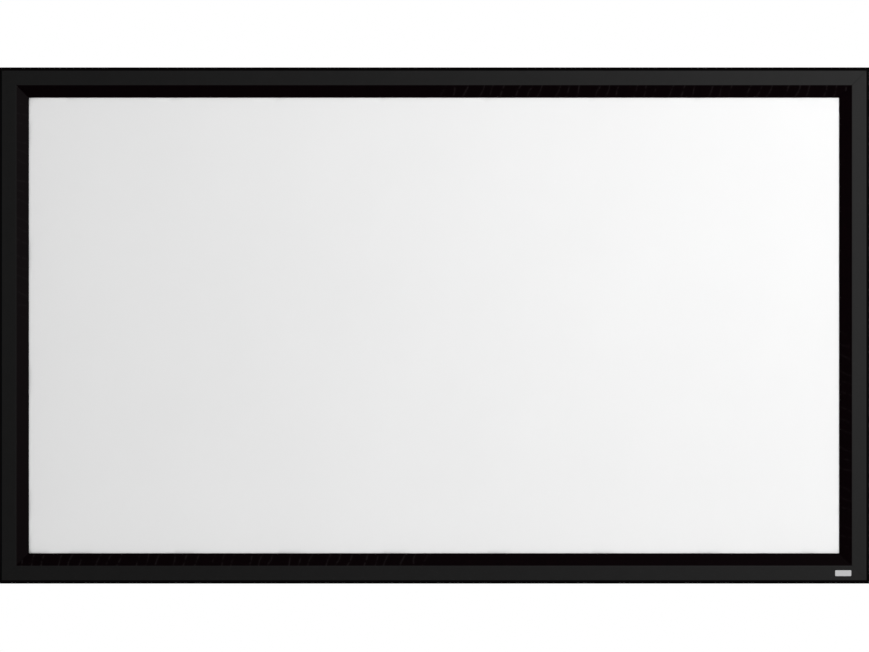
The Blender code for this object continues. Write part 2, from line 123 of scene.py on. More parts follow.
@dataclass(frozen=True)
class Layout:
    """The sizes that pieces share, the same as the solids'."""

    picture_width: float = 2.214
    picture_height: float = 1.245
    depth: float = 0.038
    chamfer_width: float = 0.009
    chamfer_depth: float = 0.012
    face_width: float = 0.040
    bevel_width: float = 0.0335
    lip_depth: float = 0.0196
    gap: float = 0.0003
    velvet: float = 0.0008
    rail_wall: float = 0.002
    channel_width: float = 0.031
    sheet: float = 0.0006
    rod_radius: float = 0.0025
    rod_from_lip: float = 0.0145
    rod_end_space: float = 0.022
    pocket_room: float = 0.0005
    wire_radius: float = 0.0005
    screw_from_corner: float = 0.085

    @property
    def border(self) -> float:
        """Width of the border from the outer edge to the lip."""
        return self.chamfer_width + self.face_width + self.bevel_width

    @property
    def channel_out(self) -> float:
        """The outer wall of the rear channel."""
        return self.velvet + self.gap + self.rail_wall

    @property
    def slot_centre(self) -> float:
        """The middle of the rear channel."""
        return self.channel_out + self.channel_width / 2

    @property
    def sheet_front(self) -> float:
        """The front face of the sheet."""
        return self.lip_depth + self.gap

    @property
    def rod(self) -> Pair:
        """The rod's centre as u and v."""
        room = self.rod_radius + self.pocket_room
        return self.border - self.rod_from_lip, self.sheet_front + self.sheet + room

    @property
    def nose_radius(self) -> float:
        """Radius of the velvet round the lip."""
        return self.velvet + self.gap + self.rail_wall / 2

    @property
    def nose(self) -> Pair:
        """Centre of the rounded lip as u and v."""
        return self.border - self.nose_radius, self.lip_depth - self.nose_radius

    @property
    def bevel_angle(self) -> float:
        """Slope of the bevel back towards the sheet."""
        run, rise = self.nose[0] - self.chamfer_width - self.face_width, self.nose[1]
        return float(np.arctan2(rise, run) - np.arcsin(self.nose_radius / np.hypot(run, rise)))

    def half_length(self, side: Side) -> float:
        """Half the outer length of a side."""
        picture = self.picture_width if side.is_level else self.picture_height
        return picture / 2 + self.border

    def half_across(self, side: Side) -> float:
        """Half the frame's size across a side."""
        picture = self.picture_height if side.is_level else self.picture_width
        return picture / 2 + self.border

    def rod_half_length(self, side: Side) -> float:
        """Half the length of a side's rod."""
        return self.half_length(side) - self.rod[0] - self.rod_end_space

    def place(self, side: Side, points: Array) -> Array:
        """Puts points given as s, u and v on a side of the frame.

        The point is drawn on the top side, as (s, v - depth, half_across - u), and then turned about Y
        by the side's angle.

        Args:
            side: the side of the frame.
            points: an array whose last axis holds s, u and v.

        Returns:
            The same array with X, Y and Z on its last axis.
        """
        turn = np.radians(side.value)
        along, up = points[..., 0], self.half_across(side) - points[..., 1]
        x = along * np.cos(turn) + up * np.sin(turn)
        z = up * np.cos(turn) - along * np.sin(turn)
        return np.stack([x, points[..., 2] - self.depth, z], axis=-1)


LAYOUT = Layout()


def grid_faces(rows: int, columns: int, wrap: bool = False) -> Array:
    """Quads of a grid of points, row by row.

    Args:
        rows: how many rows of points there are.
        columns: how many points are in a row.
        wrap: whether the last column joins the first.

    Returns:
        One row of four point numbers for each quad.
    """
    i, j = np.meshgrid(np.arange(rows - 1), np.arange(columns if wrap else columns - 1), indexing="ij")
    following = (j + 1) % columns
    corners = (i * columns + j, i * columns + following, (i + 1) * columns + following, (i + 1) * columns + j)
    return np.stack(corners, axis=-1).reshape(-1, 4)


@dataclass
class Shape:
    """Points, faces and pattern coordinates gathered for one mesh."""

    points: list[Array] = field(default_factory=list)
    faces: list[Array] = field(default_factory=list)
    flat: list[Array] = field(default_factory=list)

    def add(self, points: Array, faces: Array, flat: Array | None = None) -> None:
        """Adds points with the faces between them.

        Args:
            points: the points, in any grid whose last axis is X, Y and Z.
            faces: point numbers, counted from this call's first point.
            flat: where each point lies in the pattern, in metres.
        """
        start = sum(len(block) for block in self.points)
        points = points.reshape(-1, 3)
        self.points.append(points)
        self.faces.append(faces + start)
        self.flat.append(np.zeros((len(points), 2)) if flat is None else flat.reshape(-1, 2))

    def add_grid(self, points: Array, wrap: bool = False, flat: Array | None = None) -> None:
        """Adds a grid of points with the quads between them."""
        self.add(points, grid_faces(*points.shape[:2], wrap=wrap), flat)

    def add_tube(self, rings: Array) -> None:
        """Adds a closed tube, with a fan of triangles over each end.

        Args:
            rings: the tube's points, ring by ring.
        """
        rows, columns = rings.shape[:2]
        self.add_grid(rings, wrap=True)
        around = np.arange(columns)
        rim = np.stack([around, np.roll(around, -1)], axis=-1) - rows * columns
        for ring, ends in ((rings[0], rim[:, ::-1]), (rings[-1], rim + (rows - 1) * columns - 1)):
            self.add(ring.mean(axis=0), np.column_stack([ends, np.zeros(columns, int)]))

    def build(self, name: str, finishes: list[str], sharp: float, facing: Vector | None = None) -> Piece:
        """Makes the object, with its place in its mesh.

        Args:
            name: the piece's name.
            finishes: its finishes, the first one for all faces.
            sharp: edges that turn more than this many degrees stay sharp.
            facing: the way that an open surface faces, or None for a closed shape.

        Returns:
            The new object, at the origin.
        """
        mesh = bpy.data.meshes.new(name)
        faces = [face for block in self.faces for face in block.tolist()]
        mesh.from_pydata(np.concatenate(self.points).tolist(), [], faces)
        corner_points = np.empty(len(mesh.loops), np.int32)
        mesh.loops.foreach_get("vertex_index", corner_points)
        pattern = mesh.uv_layers.new(name="flat")
        pattern.data.foreach_set("uv", np.concatenate(self.flat)[corner_points].astype(np.float32).ravel())
        piece = link_piece(name, mesh, finishes, sharp)
        orient(mesh, facing)
        return piece


def link_piece(name: str, mesh: Mesh, finishes: list[str], sharp: float) -> Piece:
    """Shades a mesh smooth except at its sharp edges and links it as an object.

    Args:
        name: the piece's name.
        mesh: its mesh.
        finishes: its finishes.
        sharp: edges that turn more than this many degrees stay sharp.

    Returns:
        The new object.
    """
    for finish in finishes:
        mesh.materials.append(finished(finish))
    mesh.shade_smooth()
    mesh.set_sharp_from_angle(angle=np.radians(sharp))
    piece = bpy.data.objects.new(name, mesh)
    bpy.context.scene.collection.objects.link(piece)
    return piece


def orient(mesh: Mesh, facing: Vector | None) -> None:
    """Turns a closed mesh's faces outwards, or joins a surface's patches and turns it to one side.

    Args:
        mesh: a closed mesh, or patches with the same points along the edges where they meet.
        facing: the way that most of the surface looks, or None for a closed mesh.
    """
    same_point = 1e-5
    bm = bmesh.new()
    bm.from_mesh(mesh)
    if facing is not None:
        bmesh.ops.remove_doubles(bm, verts=bm.verts, dist=same_point)
    bmesh.ops.recalc_face_normals(bm, faces=bm.faces)
    if facing is not None and sum((f.normal * f.calc_area() for f in bm.faces), Vector()).dot(facing) < 0:
        bmesh.ops.reverse_faces(bm, faces=bm.faces)
    bm.to_mesh(mesh)
    bm.free()


def thicken(piece: Piece, thickness: float, edge_material: int = 0) -> None:
    """Gives a surface its thickness behind its face.

    Args:
        piece: the surface.
        thickness: how thick it gets.
        edge_material: how many slots further on the material of the new face is.
    """
    thick = piece.modifiers.new("thickness", "SOLIDIFY")
    thick.thickness = thickness
    thick.offset = -1.0
    thick.use_even_offset = True
    thick.material_offset = edge_material


def break_edges(piece: Piece, width: float) -> None:
    """Rounds the edges of a piece, and leaves its flat faces flat in the shading.

    Args:
        piece: the piece.
        width: how far the rounding reaches from each edge.
    """
    edge = piece.modifiers.new("broken_edges", "BEVEL")
    edge.width = width
    edge.segments = 2
    edge.limit_method = "ANGLE"
    edge.angle_limit = np.radians(25.0)
    edge.harden_normals = True


def dress(piece: Piece, node: str) -> None:
    """Puts a piece on the frame in the place of a node.

    Args:
        piece: the piece.
        node: the solid that it stands for.
    """
    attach(piece, BODY)
    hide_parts(node)
    LOG.info("%s: %d faces, stands for %s", piece.name, len(piece.data.polygons), node)


def soften(node: str, name: str, finish: str, width: float) -> None:
    """Puts a copy of a node in its place, with flat faces joined and edges rounded as a real edge is broken.

    Args:
        node: the node to copy.
        name: the piece's name.
        finish: its finish.
        width: how far the rounding reaches from each edge.
    """
    merge, flat_angle = 2e-6, 0.4
    bm = bmesh.new()
    bm.from_mesh(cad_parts[node].data)
    bmesh.ops.remove_doubles(bm, verts=bm.verts, dist=merge)
    bmesh.ops.dissolve_limit(
        bm, angle_limit=np.radians(flat_angle), verts=bm.verts, edges=bm.edges, use_dissolve_boundaries=False
    )
    bmesh.ops.recalc_face_normals(bm, faces=bm.faces)
    mesh = bpy.data.meshes.new(name)
    bm.to_mesh(mesh)
    bm.free()
    piece = link_piece(name, mesh, [finish], sharp=30)
    break_edges(piece, width)
    dress(piece, node)


@dataclass
class Recipe:
    """A shader tree, with short calls for the nodes that it gets. A value is a number or a socket."""

    tree: Tree

    def join(self, node: Node, inputs: dict) -> None:
        """Feeds a node's inputs.

        Args:
            node: the node.
            inputs: a plain value, or the socket that feeds it, for each input's name or number.
        """
        for key, value in inputs.items():
            if isinstance(value, Socket):
                self.tree.links.new(value, node.inputs[key])
            else:
                node.inputs[key].default_value = value

    def add(self, kind: str, inputs: dict | None = None, **settings: str | Tree) -> Node:
        """Places a node.

        Args:
            kind: the node's type, without ShaderNode in front.
            inputs: what feeds it.
            settings: the node's own properties.

        Returns:
            The node.
        """
        node = self.tree.nodes.new(f"ShaderNode{kind}")
        for key, value in settings.items():
            setattr(node, key, value)
        self.join(node, inputs or {})
        return node

    def place(self) -> Socket:
        """Object coordinates."""
        return self.add("TexCoord").outputs["Object"]

    def flat(self) -> Socket:
        """The piece's own flat pattern coordinates."""
        return self.add("UVMap", uv_map="flat").outputs["UV"]

    def stored(self, name: str) -> Socket:
        """A number stored at the mesh's points."""
        return self.add("Attribute", attribute_name=name).outputs["Fac"]

    def math(self, operation: str, *values: Socket | float) -> Socket:
        """The result of an operation on numbers."""
        return self.add("Math", dict(enumerate(values)), operation=operation).outputs[0]

    def vector(self, operation: str, *values: Socket | Place) -> Socket:
        """The result of an operation on vectors, which is a number for some."""
        node = self.add("VectorMath", dict(enumerate(values)), operation=operation)
        return node.outputs["Value" if operation in ("DOT_PRODUCT", "LENGTH") else "Vector"]

    def noise(self, where: Socket, scale: Socket | float, detail: float, roughness: float = 0.5) -> Socket:
        """A noise from 0 to 1."""
        inputs = {"Vector": where, "Scale": scale, "Detail": detail, "Roughness": roughness}
        return self.add("TexNoise", inputs).outputs["Fac"]

    def ranged(self, value: Socket, start: float, end: float, low: float = 0.0, high: float = 1.0) -> Socket:
        """A value from start to end turned into one from low to high, and kept between them."""
        inputs = {"Value": value, "From Min": start, "From Max": end, "To Min": low, "To Max": high}
        return self.add("MapRange", inputs).outputs["Result"]

    def mix(self, share: Socket | float, low: Socket, high: Socket | tuple, blend: str = "MIX") -> Socket:
        """Two colours mixed by a share, at the node's colour sockets 6, 7 and, for the result, 2."""
        return self.add("Mix", {0: share, 6: low, 7: high}, data_type="RGBA", blend_type=blend).outputs[2]

    def bump(self, height: Socket, distance: Socket | float, **more: Socket) -> Socket:
        """The normal of a surface raised by a height."""
        return self.add("Bump", {"Height": height, "Distance": distance, **more}).outputs["Normal"]

    def use(self, group: Tree, **inputs: Socket | float | tuple) -> Sockets:
        """The outputs of a node group with its own values."""
        return self.add("Group", inputs, node_tree=group).outputs


def start_group(name: str, inputs: dict[str, str], outputs: dict[str, str]) -> tuple[Recipe, Sockets, Node]:
    """Starts a shader node group.

    Args:
        name: the group's name.
        inputs: the type of each input socket.
        outputs: the type of each output socket.

    Returns:
        The group's recipe, the sockets that bring its inputs and the node that takes its outputs.
    """
    tree = bpy.data.node_groups.new(name, "ShaderNodeTree")
    for sockets, direction in ((inputs, "INPUT"), (outputs, "OUTPUT")):
        for socket, kind in sockets.items():
            tree.interface.new_socket(name=socket, in_out=direction, socket_type=f"NodeSocket{kind}")
    return Recipe(tree), tree.nodes.new("NodeGroupInput").outputs, tree.nodes.new("NodeGroupOutput")


@cache
def grain_group() -> Tree:
    """A fine even grain: noise of a given scale, and its bump of a given height.

    Returns:
        The node group, which puts out a mask and a normal.
    """
    inputs = {"Vector": "Vector", "Scale": "Float", "Height": "Float"}
    recipe, given, out = start_group("fine_grain", inputs, {"Mask": "Float", "Normal": "Vector"})
    mask = recipe.noise(given["Vector"], given["Scale"], detail=2.0, roughness=0.6)
    recipe.join(out, {"Mask": mask, "Normal": recipe.bump(mask, given["Height"])})
    return recipe.tree


@cache
def drawn_group() -> Tree:
    """Die or brush lines: noise on coordinates multiplied by Stretch, small along the lines' run.

    Returns:
        The node group, which puts out a mask and a normal.
    """
    inputs = {"Vector": "Vector", "Stretch": "Vector", "Height": "Float"}
    recipe, given, out = start_group("drawn_lines", inputs, {"Mask": "Float", "Normal": "Vector"})
    stretched = recipe.vector("MULTIPLY", given["Vector"], given["Stretch"])
    mask = recipe.noise(stretched, scale=1.0, detail=4.0, roughness=0.65)
    recipe.join(out, {"Mask": mask, "Normal": recipe.bump(mask, given["Height"])})
    return recipe.tree


@cache
def mottle_group() -> Tree:
    """Slow change between two colours: the colour goes from Low to High with a soft noise.

    Returns:
        The node group, which puts out the colour.
    """
    inputs = {"Vector": "Vector", "Scale": "Float", "Low": "Color", "High": "Color"}
    recipe, given, out = start_group("slow_mottle", inputs, {"Color": "Color"})
    mask = recipe.ranged(recipe.noise(given["Vector"], given["Scale"], detail=3.0), start=0.32, end=0.68)
    recipe.join(out, {"Color": recipe.mix(mask, given["Low"], given["High"])})
    return recipe.tree


def opaque(colour: Colour, share: float = 1.0) -> tuple[float, float, float, float]:
    """A share of a colour, with full alpha."""
    return (*(part * share for part in colour), 1.0)


def start_material(name: str, values: dict) -> tuple[Material, Recipe, Node]:
    """A new material with its shader's plain values set.

    Args:
        name: the material's name.
        values: a value for each of the shader's inputs that is the same all over.

    Returns:
        The material, its recipe and its shader node.
    """
    made = bpy.data.materials.new(name)
    made.use_nodes = True
    recipe, shader = Recipe(made.node_tree), made.node_tree.nodes["Principled BSDF"]
    recipe.join(shader, values)
    return made, recipe, shader


@dataclass(frozen=True)
class VelvetFinish:
    """Black flock: a near black pile of short fibres that all lean one way, with soft handling marks.

    The flat face and the outer wall get a paler, glossier copy, and the bevel and chamfer darker, less glossy
    ones: painted light and shade on one flock, partly its nap. Its fibres are a fine noise, longer across the
    strip than along it, in the bump, and in the colour as painted glints. The handling marks are paler
    streaks on the bevel, brushed nap painted as sheen.
    """

    name: str
    colour: Colour
    gloss: float
    roughness: float
    stroke: Colour | None = None
    stroke_slant: float = 0.36
    stroke_pitch: float = 0.0285
    stroke_edge: float = 0.80
    group_pitch: float = 0.104
    group_strokes: int = 3
    group_start: float = 0.036
    drift_scale: float = 14.0
    break_scale: float = 90.0
    break_range: Pair = (0.36, 0.56)
    fibres: tuple[float, float, float] = (900.0, 2600.0, 0.0)
    fibre_height: float = 0.00007
    glint_tone: float = 0.35
    nap_scale: float = 26.0
    nap_tone: float = 0.12
    sheen: float = 0.003
    sheen_roughness: float = 0.45

    def strokes(self, recipe: Recipe, pattern: Socket) -> Socket:
        """Slanting brush strokes in groups of three.

        The place is s plus slant times the distance across the strip, shifted a little by a soft noise.
        Its rest after division by the group's pitch is the place in the group. A stroke is the top of a
        sine of that, and there are none past the group's last one. A finer noise breaks the strokes up.

        Args:
            recipe: the material's recipe.
            pattern: where a point lies on the strip, as the distance across it and s.

        Returns:
            The mask, 1 in the middle of a stroke.
        """
        # A stroke is paler colour mixed into the pile: a brushed mark painted as a streak of sheen.
        slanted = recipe.vector("DOT_PRODUCT", pattern, (self.stroke_slant, 1.0, 0.0))
        started = recipe.math("ADD", slanted, self.group_start)
        drift = recipe.noise(pattern, self.drift_scale, detail=1.0)
        shifted = recipe.math("MULTIPLY_ADD", drift, self.stroke_pitch, started)
        place = recipe.math("FLOORED_MODULO", shifted, self.group_pitch)
        wave = recipe.math("SINE", recipe.math("MULTIPLY", place, 2 * np.pi / self.stroke_pitch))
        line = recipe.ranged(wave, self.stroke_edge, 1.0)
        inside = recipe.math("LESS_THAN", place, self.group_strokes * self.stroke_pitch)
        unbroken = recipe.ranged(recipe.noise(pattern, self.break_scale, detail=2.0), *self.break_range)
        return recipe.math("MULTIPLY", recipe.math("MULTIPLY", line, inside), unbroken)

    def material(self) -> Material:
        """Builds the material on the covering's own pattern coordinates.

        The colour is the nap's slow change, with the strokes mixed in as painted sheen where the mesh stores
        them, times the fibres' noise as painted glints, which goes as far above 1 as below it.

        Returns:
            The material.
        """
        sheen = {"Sheen Weight": self.sheen, "Sheen Roughness": self.sheen_roughness}
        values = {"Roughness": self.roughness, "Specular IOR Level": self.gloss, **sheen}
        made, recipe, shader = start_material(self.name, values)
        pattern = recipe.flat()
        low, high = opaque(self.colour, 1 - self.nap_tone), opaque(self.colour, 1 + self.nap_tone)
        nap = recipe.use(mottle_group(), Vector=pattern, Scale=self.nap_scale, Low=low, High=high)
        pile = recipe.use(drawn_group(), Vector=pattern, Stretch=self.fibres, Height=self.fibre_height)
        colour = nap["Color"]
        if self.stroke:
            amount = recipe.math("MULTIPLY", self.strokes(recipe, pattern), recipe.stored("stroked"))
            colour = recipe.mix(amount, colour, opaque(self.stroke))
        # Painted glints: the fibres' noise lightens and darkens the colour, as fibre tips catching the light.
        painted_glints = recipe.ranged(pile["Mask"], 0.0, 1.0, 1 - 2 * self.glint_tone, 1 + 2 * self.glint_tone)
        speckled = recipe.mix(1.0, colour, painted_glints, "MULTIPLY")
        recipe.join(shader, {"Base Color": speckled, "Normal": pile["Normal"]})
        return made


@dataclass(frozen=True)
class SolidFinish:
    """Metal, lacquer, plastic or film: a slow change of tone under an even grain or drawn lines.

    The grain is the scale of an even one, or the three stretches of drawn lines. The roughness goes
    from the first value to the second with it.
    """

    name: str
    low: Colour
    high: Colour
    roughness: Pair
    tone_scale: float
    grain: float | tuple[float, float, float]
    height: float
    metallic: float = 1.0
    specular: float = 0.5

    def material(self) -> Material:
        """Builds the material on object coordinates.

        Returns:
            The material.
        """
        smooth, rough = self.roughness
        values = {"Roughness": smooth, "Metallic": self.metallic, "Specular IOR Level": self.specular}
        made, recipe, shader = start_material(self.name, values)
        where, low, high = recipe.place(), opaque(self.low), opaque(self.high)
        tone = recipe.use(mottle_group(), Vector=where, Scale=self.tone_scale, Low=low, High=high)
        if isinstance(self.grain, tuple):
            grain = recipe.use(drawn_group(), Vector=where, Stretch=self.grain, Height=self.height)
        else:
            grain = recipe.use(grain_group(), Vector=where, Scale=self.grain, Height=self.height)
        recipe.join(shader, {"Base Color": tone["Color"], "Normal": grain["Normal"]})
        if rough != smooth:
            recipe.join(shader, {"Roughness": recipe.ranged(grain["Mask"], 0.0, 1.0, smooth, rough)})
        return made


@dataclass(frozen=True)
class WeldedFinish(SolidFinish):
    """A film with a square lattice pressed into it where the mesh stores a weld."""

    weld_pitch: float = 0.0012
    weld_height: float = 0.0001
    weld_gloss: float = 0.35

    def material(self) -> Material:
        """Adds the lattice to the plain film: the product of two sines of the flat place.

        Returns:
            The material.
        """
        made = super().material()
        recipe, shader = Recipe(made.node_tree), made.node_tree.nodes["Principled BSDF"]
        welded, turns = recipe.stored("weld"), 2 * np.pi / self.weld_pitch
        waves = recipe.vector("SINE", recipe.vector("MULTIPLY", recipe.flat(), (turns, turns, 0.0)))
        parts = recipe.add("SeparateXYZ", {0: waves}).outputs
        lattice = recipe.math("MULTIPLY", parts["X"], parts["Y"])
        grain = shader.inputs["Normal"].links[0].from_socket
        pressed = recipe.bump(lattice, self.weld_height, Strength=welded, Normal=grain)
        gloss = recipe.ranged(welded, 0.0, 1.0, self.roughness[0], self.weld_gloss)
        recipe.join(shader, {"Normal": pressed, "Roughness": gloss})
        return made


@dataclass(frozen=True)
class FloorFinish:
    """A pale matt floor that fades out, from one distance from its middle to another."""

    name: str
    colour: Colour
    fade: Pair

    def material(self) -> Material:
        """Builds the material on the level distance from the middle, in object coordinates.

        Returns:
            The material.
        """
        values = {"Roughness": 0.9, "Specular IOR Level": 0.1, "Base Color": opaque(self.colour)}
        made, recipe, shader = start_material(self.name, values)
        away = recipe.vector("LENGTH", recipe.vector("MULTIPLY", recipe.place(), (1.0, 1.0, 0.0)))
        alpha = recipe.ranged(away, *self.fade, 1.0, 0.0)
        alpha.node.interpolation_type = "SMOOTHSTEP"
        recipe.join(shader, {"Alpha": alpha})
        return made


# The low and high colours and the roughness of some finishes. The first two have their tone's scale too.
ANODISED = ((0.52, 0.53, 0.54), (0.58, 0.59, 0.60), (0.42, 0.60), 9.0)
DRAWN = ((0.48, 0.48, 0.49), (0.60, 0.61, 0.62), (0.22, 0.36), 9.0)
OXIDE = ((0.022, 0.022, 0.024), (0.045, 0.044, 0.044), (0.34, 0.50))
LACQUER = ((0.354, 0.354, 0.359), (0.366, 0.366, 0.371), (0.40, 0.40))
NYLON = ((0.018, 0.018, 0.020), (0.026, 0.026, 0.028), (0.48, 0.48))
BACKING = ((0.0282, 0.0282, 0.03008), (0.0318, 0.0318, 0.03392), (0.7, 0.7))
FILM = ((0.866768, 0.866768, 0.866768), (0.877232, 0.877232, 0.877232), (0.9, 0.9))
EMBOSSED = {"tone_scale": 3.0, "grain": 1900.0, "height": 0.00003, "metallic": 0.0, "specular": 0.2}
# Paler streaks on the bevel: brushed marks of the nap painted as streaks of sheen.
STROKE_PAINTED_SHEEN = (0.0080, 0.0062, 0.0066)
# After a solid finish's colours and roughness come the scale of its tone, its grain and the grain's height.
FINISHES = (
    # The three velvets are one flock in lit and shaded copies: painted light on the face's paler, glossier
    # one, and painted shade on the darker bevel and outer ones, partly the nap.
    VelvetFinish("velvet_face_painted_lit", (0.0030, 0.0029, 0.0029), gloss=0.060, roughness=0.55),
    VelvetFinish("velvet_bevel_painted_shade", (0.0014, 0.0002, 0.0006), gloss=0.009, roughness=0.46, stroke=STROKE_PAINTED_SHEEN),
    VelvetFinish("velvet_outer_painted_shade", (0.0014, 0.0010, 0.0012), gloss=0.0025, roughness=0.6),
    WeldedFinish("matt_white_film", *FILM, **EMBOSSED),
    SolidFinish("black_backing", *BACKING, **EMBOSSED),
    SolidFinish("anodised_level", *ANODISED, (4.0, 700.0, 700.0), 0.00004),
    SolidFinish("anodised_upright", *ANODISED, (700.0, 700.0, 4.0), 0.00004),
    SolidFinish("drawn_rod_level", *DRAWN, (12.0, 1500.0, 1500.0), 0.00002),
    SolidFinish("drawn_rod_upright", *DRAWN, (1500.0, 1500.0, 12.0), 0.00002),
    SolidFinish("zinc_plate", (0.42, 0.435, 0.46), (0.50, 0.50, 0.49), (0.30, 0.44), 45.0, 900.0, 0.00003),
    SolidFinish("spring_wire", (0.42, 0.42, 0.43), (0.58, 0.58, 0.58), (0.22, 0.34), 260.0, 3000.0, 0.00001),
    SolidFinish("black_oxide", *OXIDE, 300.0, 2500.0, 0.00001),
    SolidFinish("silver_lacquer", *LACQUER, 260.0, 3000.0, 0.000008, metallic=0.0),
    SolidFinish("black_nylon", *NYLON, 120.0, 2200.0, 0.00004, metallic=0.0),
    FloorFinish("studio_floor", (0.80, 0.80, 0.80), fade=(2.025, 4.41)),
)


@cache
def finished(name: str) -> Material:
    """The material of a finish, made once."""
    return next(finish for finish in FINISHES if finish.name == name).material()


def arc(centre: Pair, radius: float, start: float, sweep: float, steps: int) -> Array:
    """Points on an arc: centre plus radius times the cosine and sine of each angle, ends included."""
    angles = start + sweep * np.linspace(0, 1, steps + 1)
    return np.column_stack([centre[0] + radius * np.cos(angles), centre[1] + radius * np.sin(angles)])


def rounded_corner(before: Array, corner: Array, after: Array, radius: float, steps: int) -> Array:
    """The arc that rounds a corner of a path.

    It starts radius * tan(half the turn) before the corner, and its centre is one radius to the side.

    Args:
        before: the point before the corner.
        corner: the corner itself.
        after: the point after it.
        radius: the radius of the rounding.
        steps: how many pieces the arc has.

    Returns:
        The arc's points.
    """
    way_in = (corner - before) / np.linalg.norm(corner - before)
    way_out = (after - corner) / np.linalg.norm(after - corner)
    turn = np.arctan2(way_in[0] * way_out[1] - way_in[1] * way_out[0], way_in @ way_out)
    start = corner - way_in * radius * np.tan(abs(turn) / 2)
    centre = start + np.sign(turn) * radius * np.array([-way_in[1], way_in[0]])
    first = np.arctan2(*(start - centre)[::-1])
    return arc(tuple(centre), radius, first, turn, steps)


def filled(path: Array, longest: float) -> Array:
    """A path with points added, evenly on each stretch.

    Args:
        path: the path's points.
        longest: no stretch gets longer than this.

    Returns:
        The path's points with the new ones between them.
    """
    stretches = []
    for start, end in zip(path, path[1:]):
        pieces = max(1, int(np.ceil(np.linalg.norm(end - start) / longest)))
        stretches.append(start + (end - start) * np.arange(pieces)[:, None] / pieces)
    return np.concatenate([*stretches, path[-1:]])


def unit_slopes(line: Array) -> Array:
    """The unit direction of a line at each of its points."""
    slopes = np.gradient(line, axis=0)
    return slopes / np.linalg.norm(slopes, axis=1, keepdims=True)


def path_sides(path: Array) -> Array:
    """The unit direction at each point of a path a quarter turn from its run, from v to -u."""
    ahead = unit_slopes(path)
    return np.column_stack([ahead[:, 1], -ahead[:, 0]])


def path_lengths(path: Array) -> Array:
    """How far along a path each of its points is."""
    steps = np.linalg.norm(np.diff(path, axis=0), axis=1)
    return np.concatenate([[0.0], np.cumsum(steps)])


def carried(s: Array, path: Array) -> Array:
    """A path of u and v carried along a side, as a grid of s, u and v."""
    places = np.tile(s[:, None, None], (1, len(path), 1))
    return np.concatenate([places, np.tile(path, (len(s), 1, 1))], axis=-1)


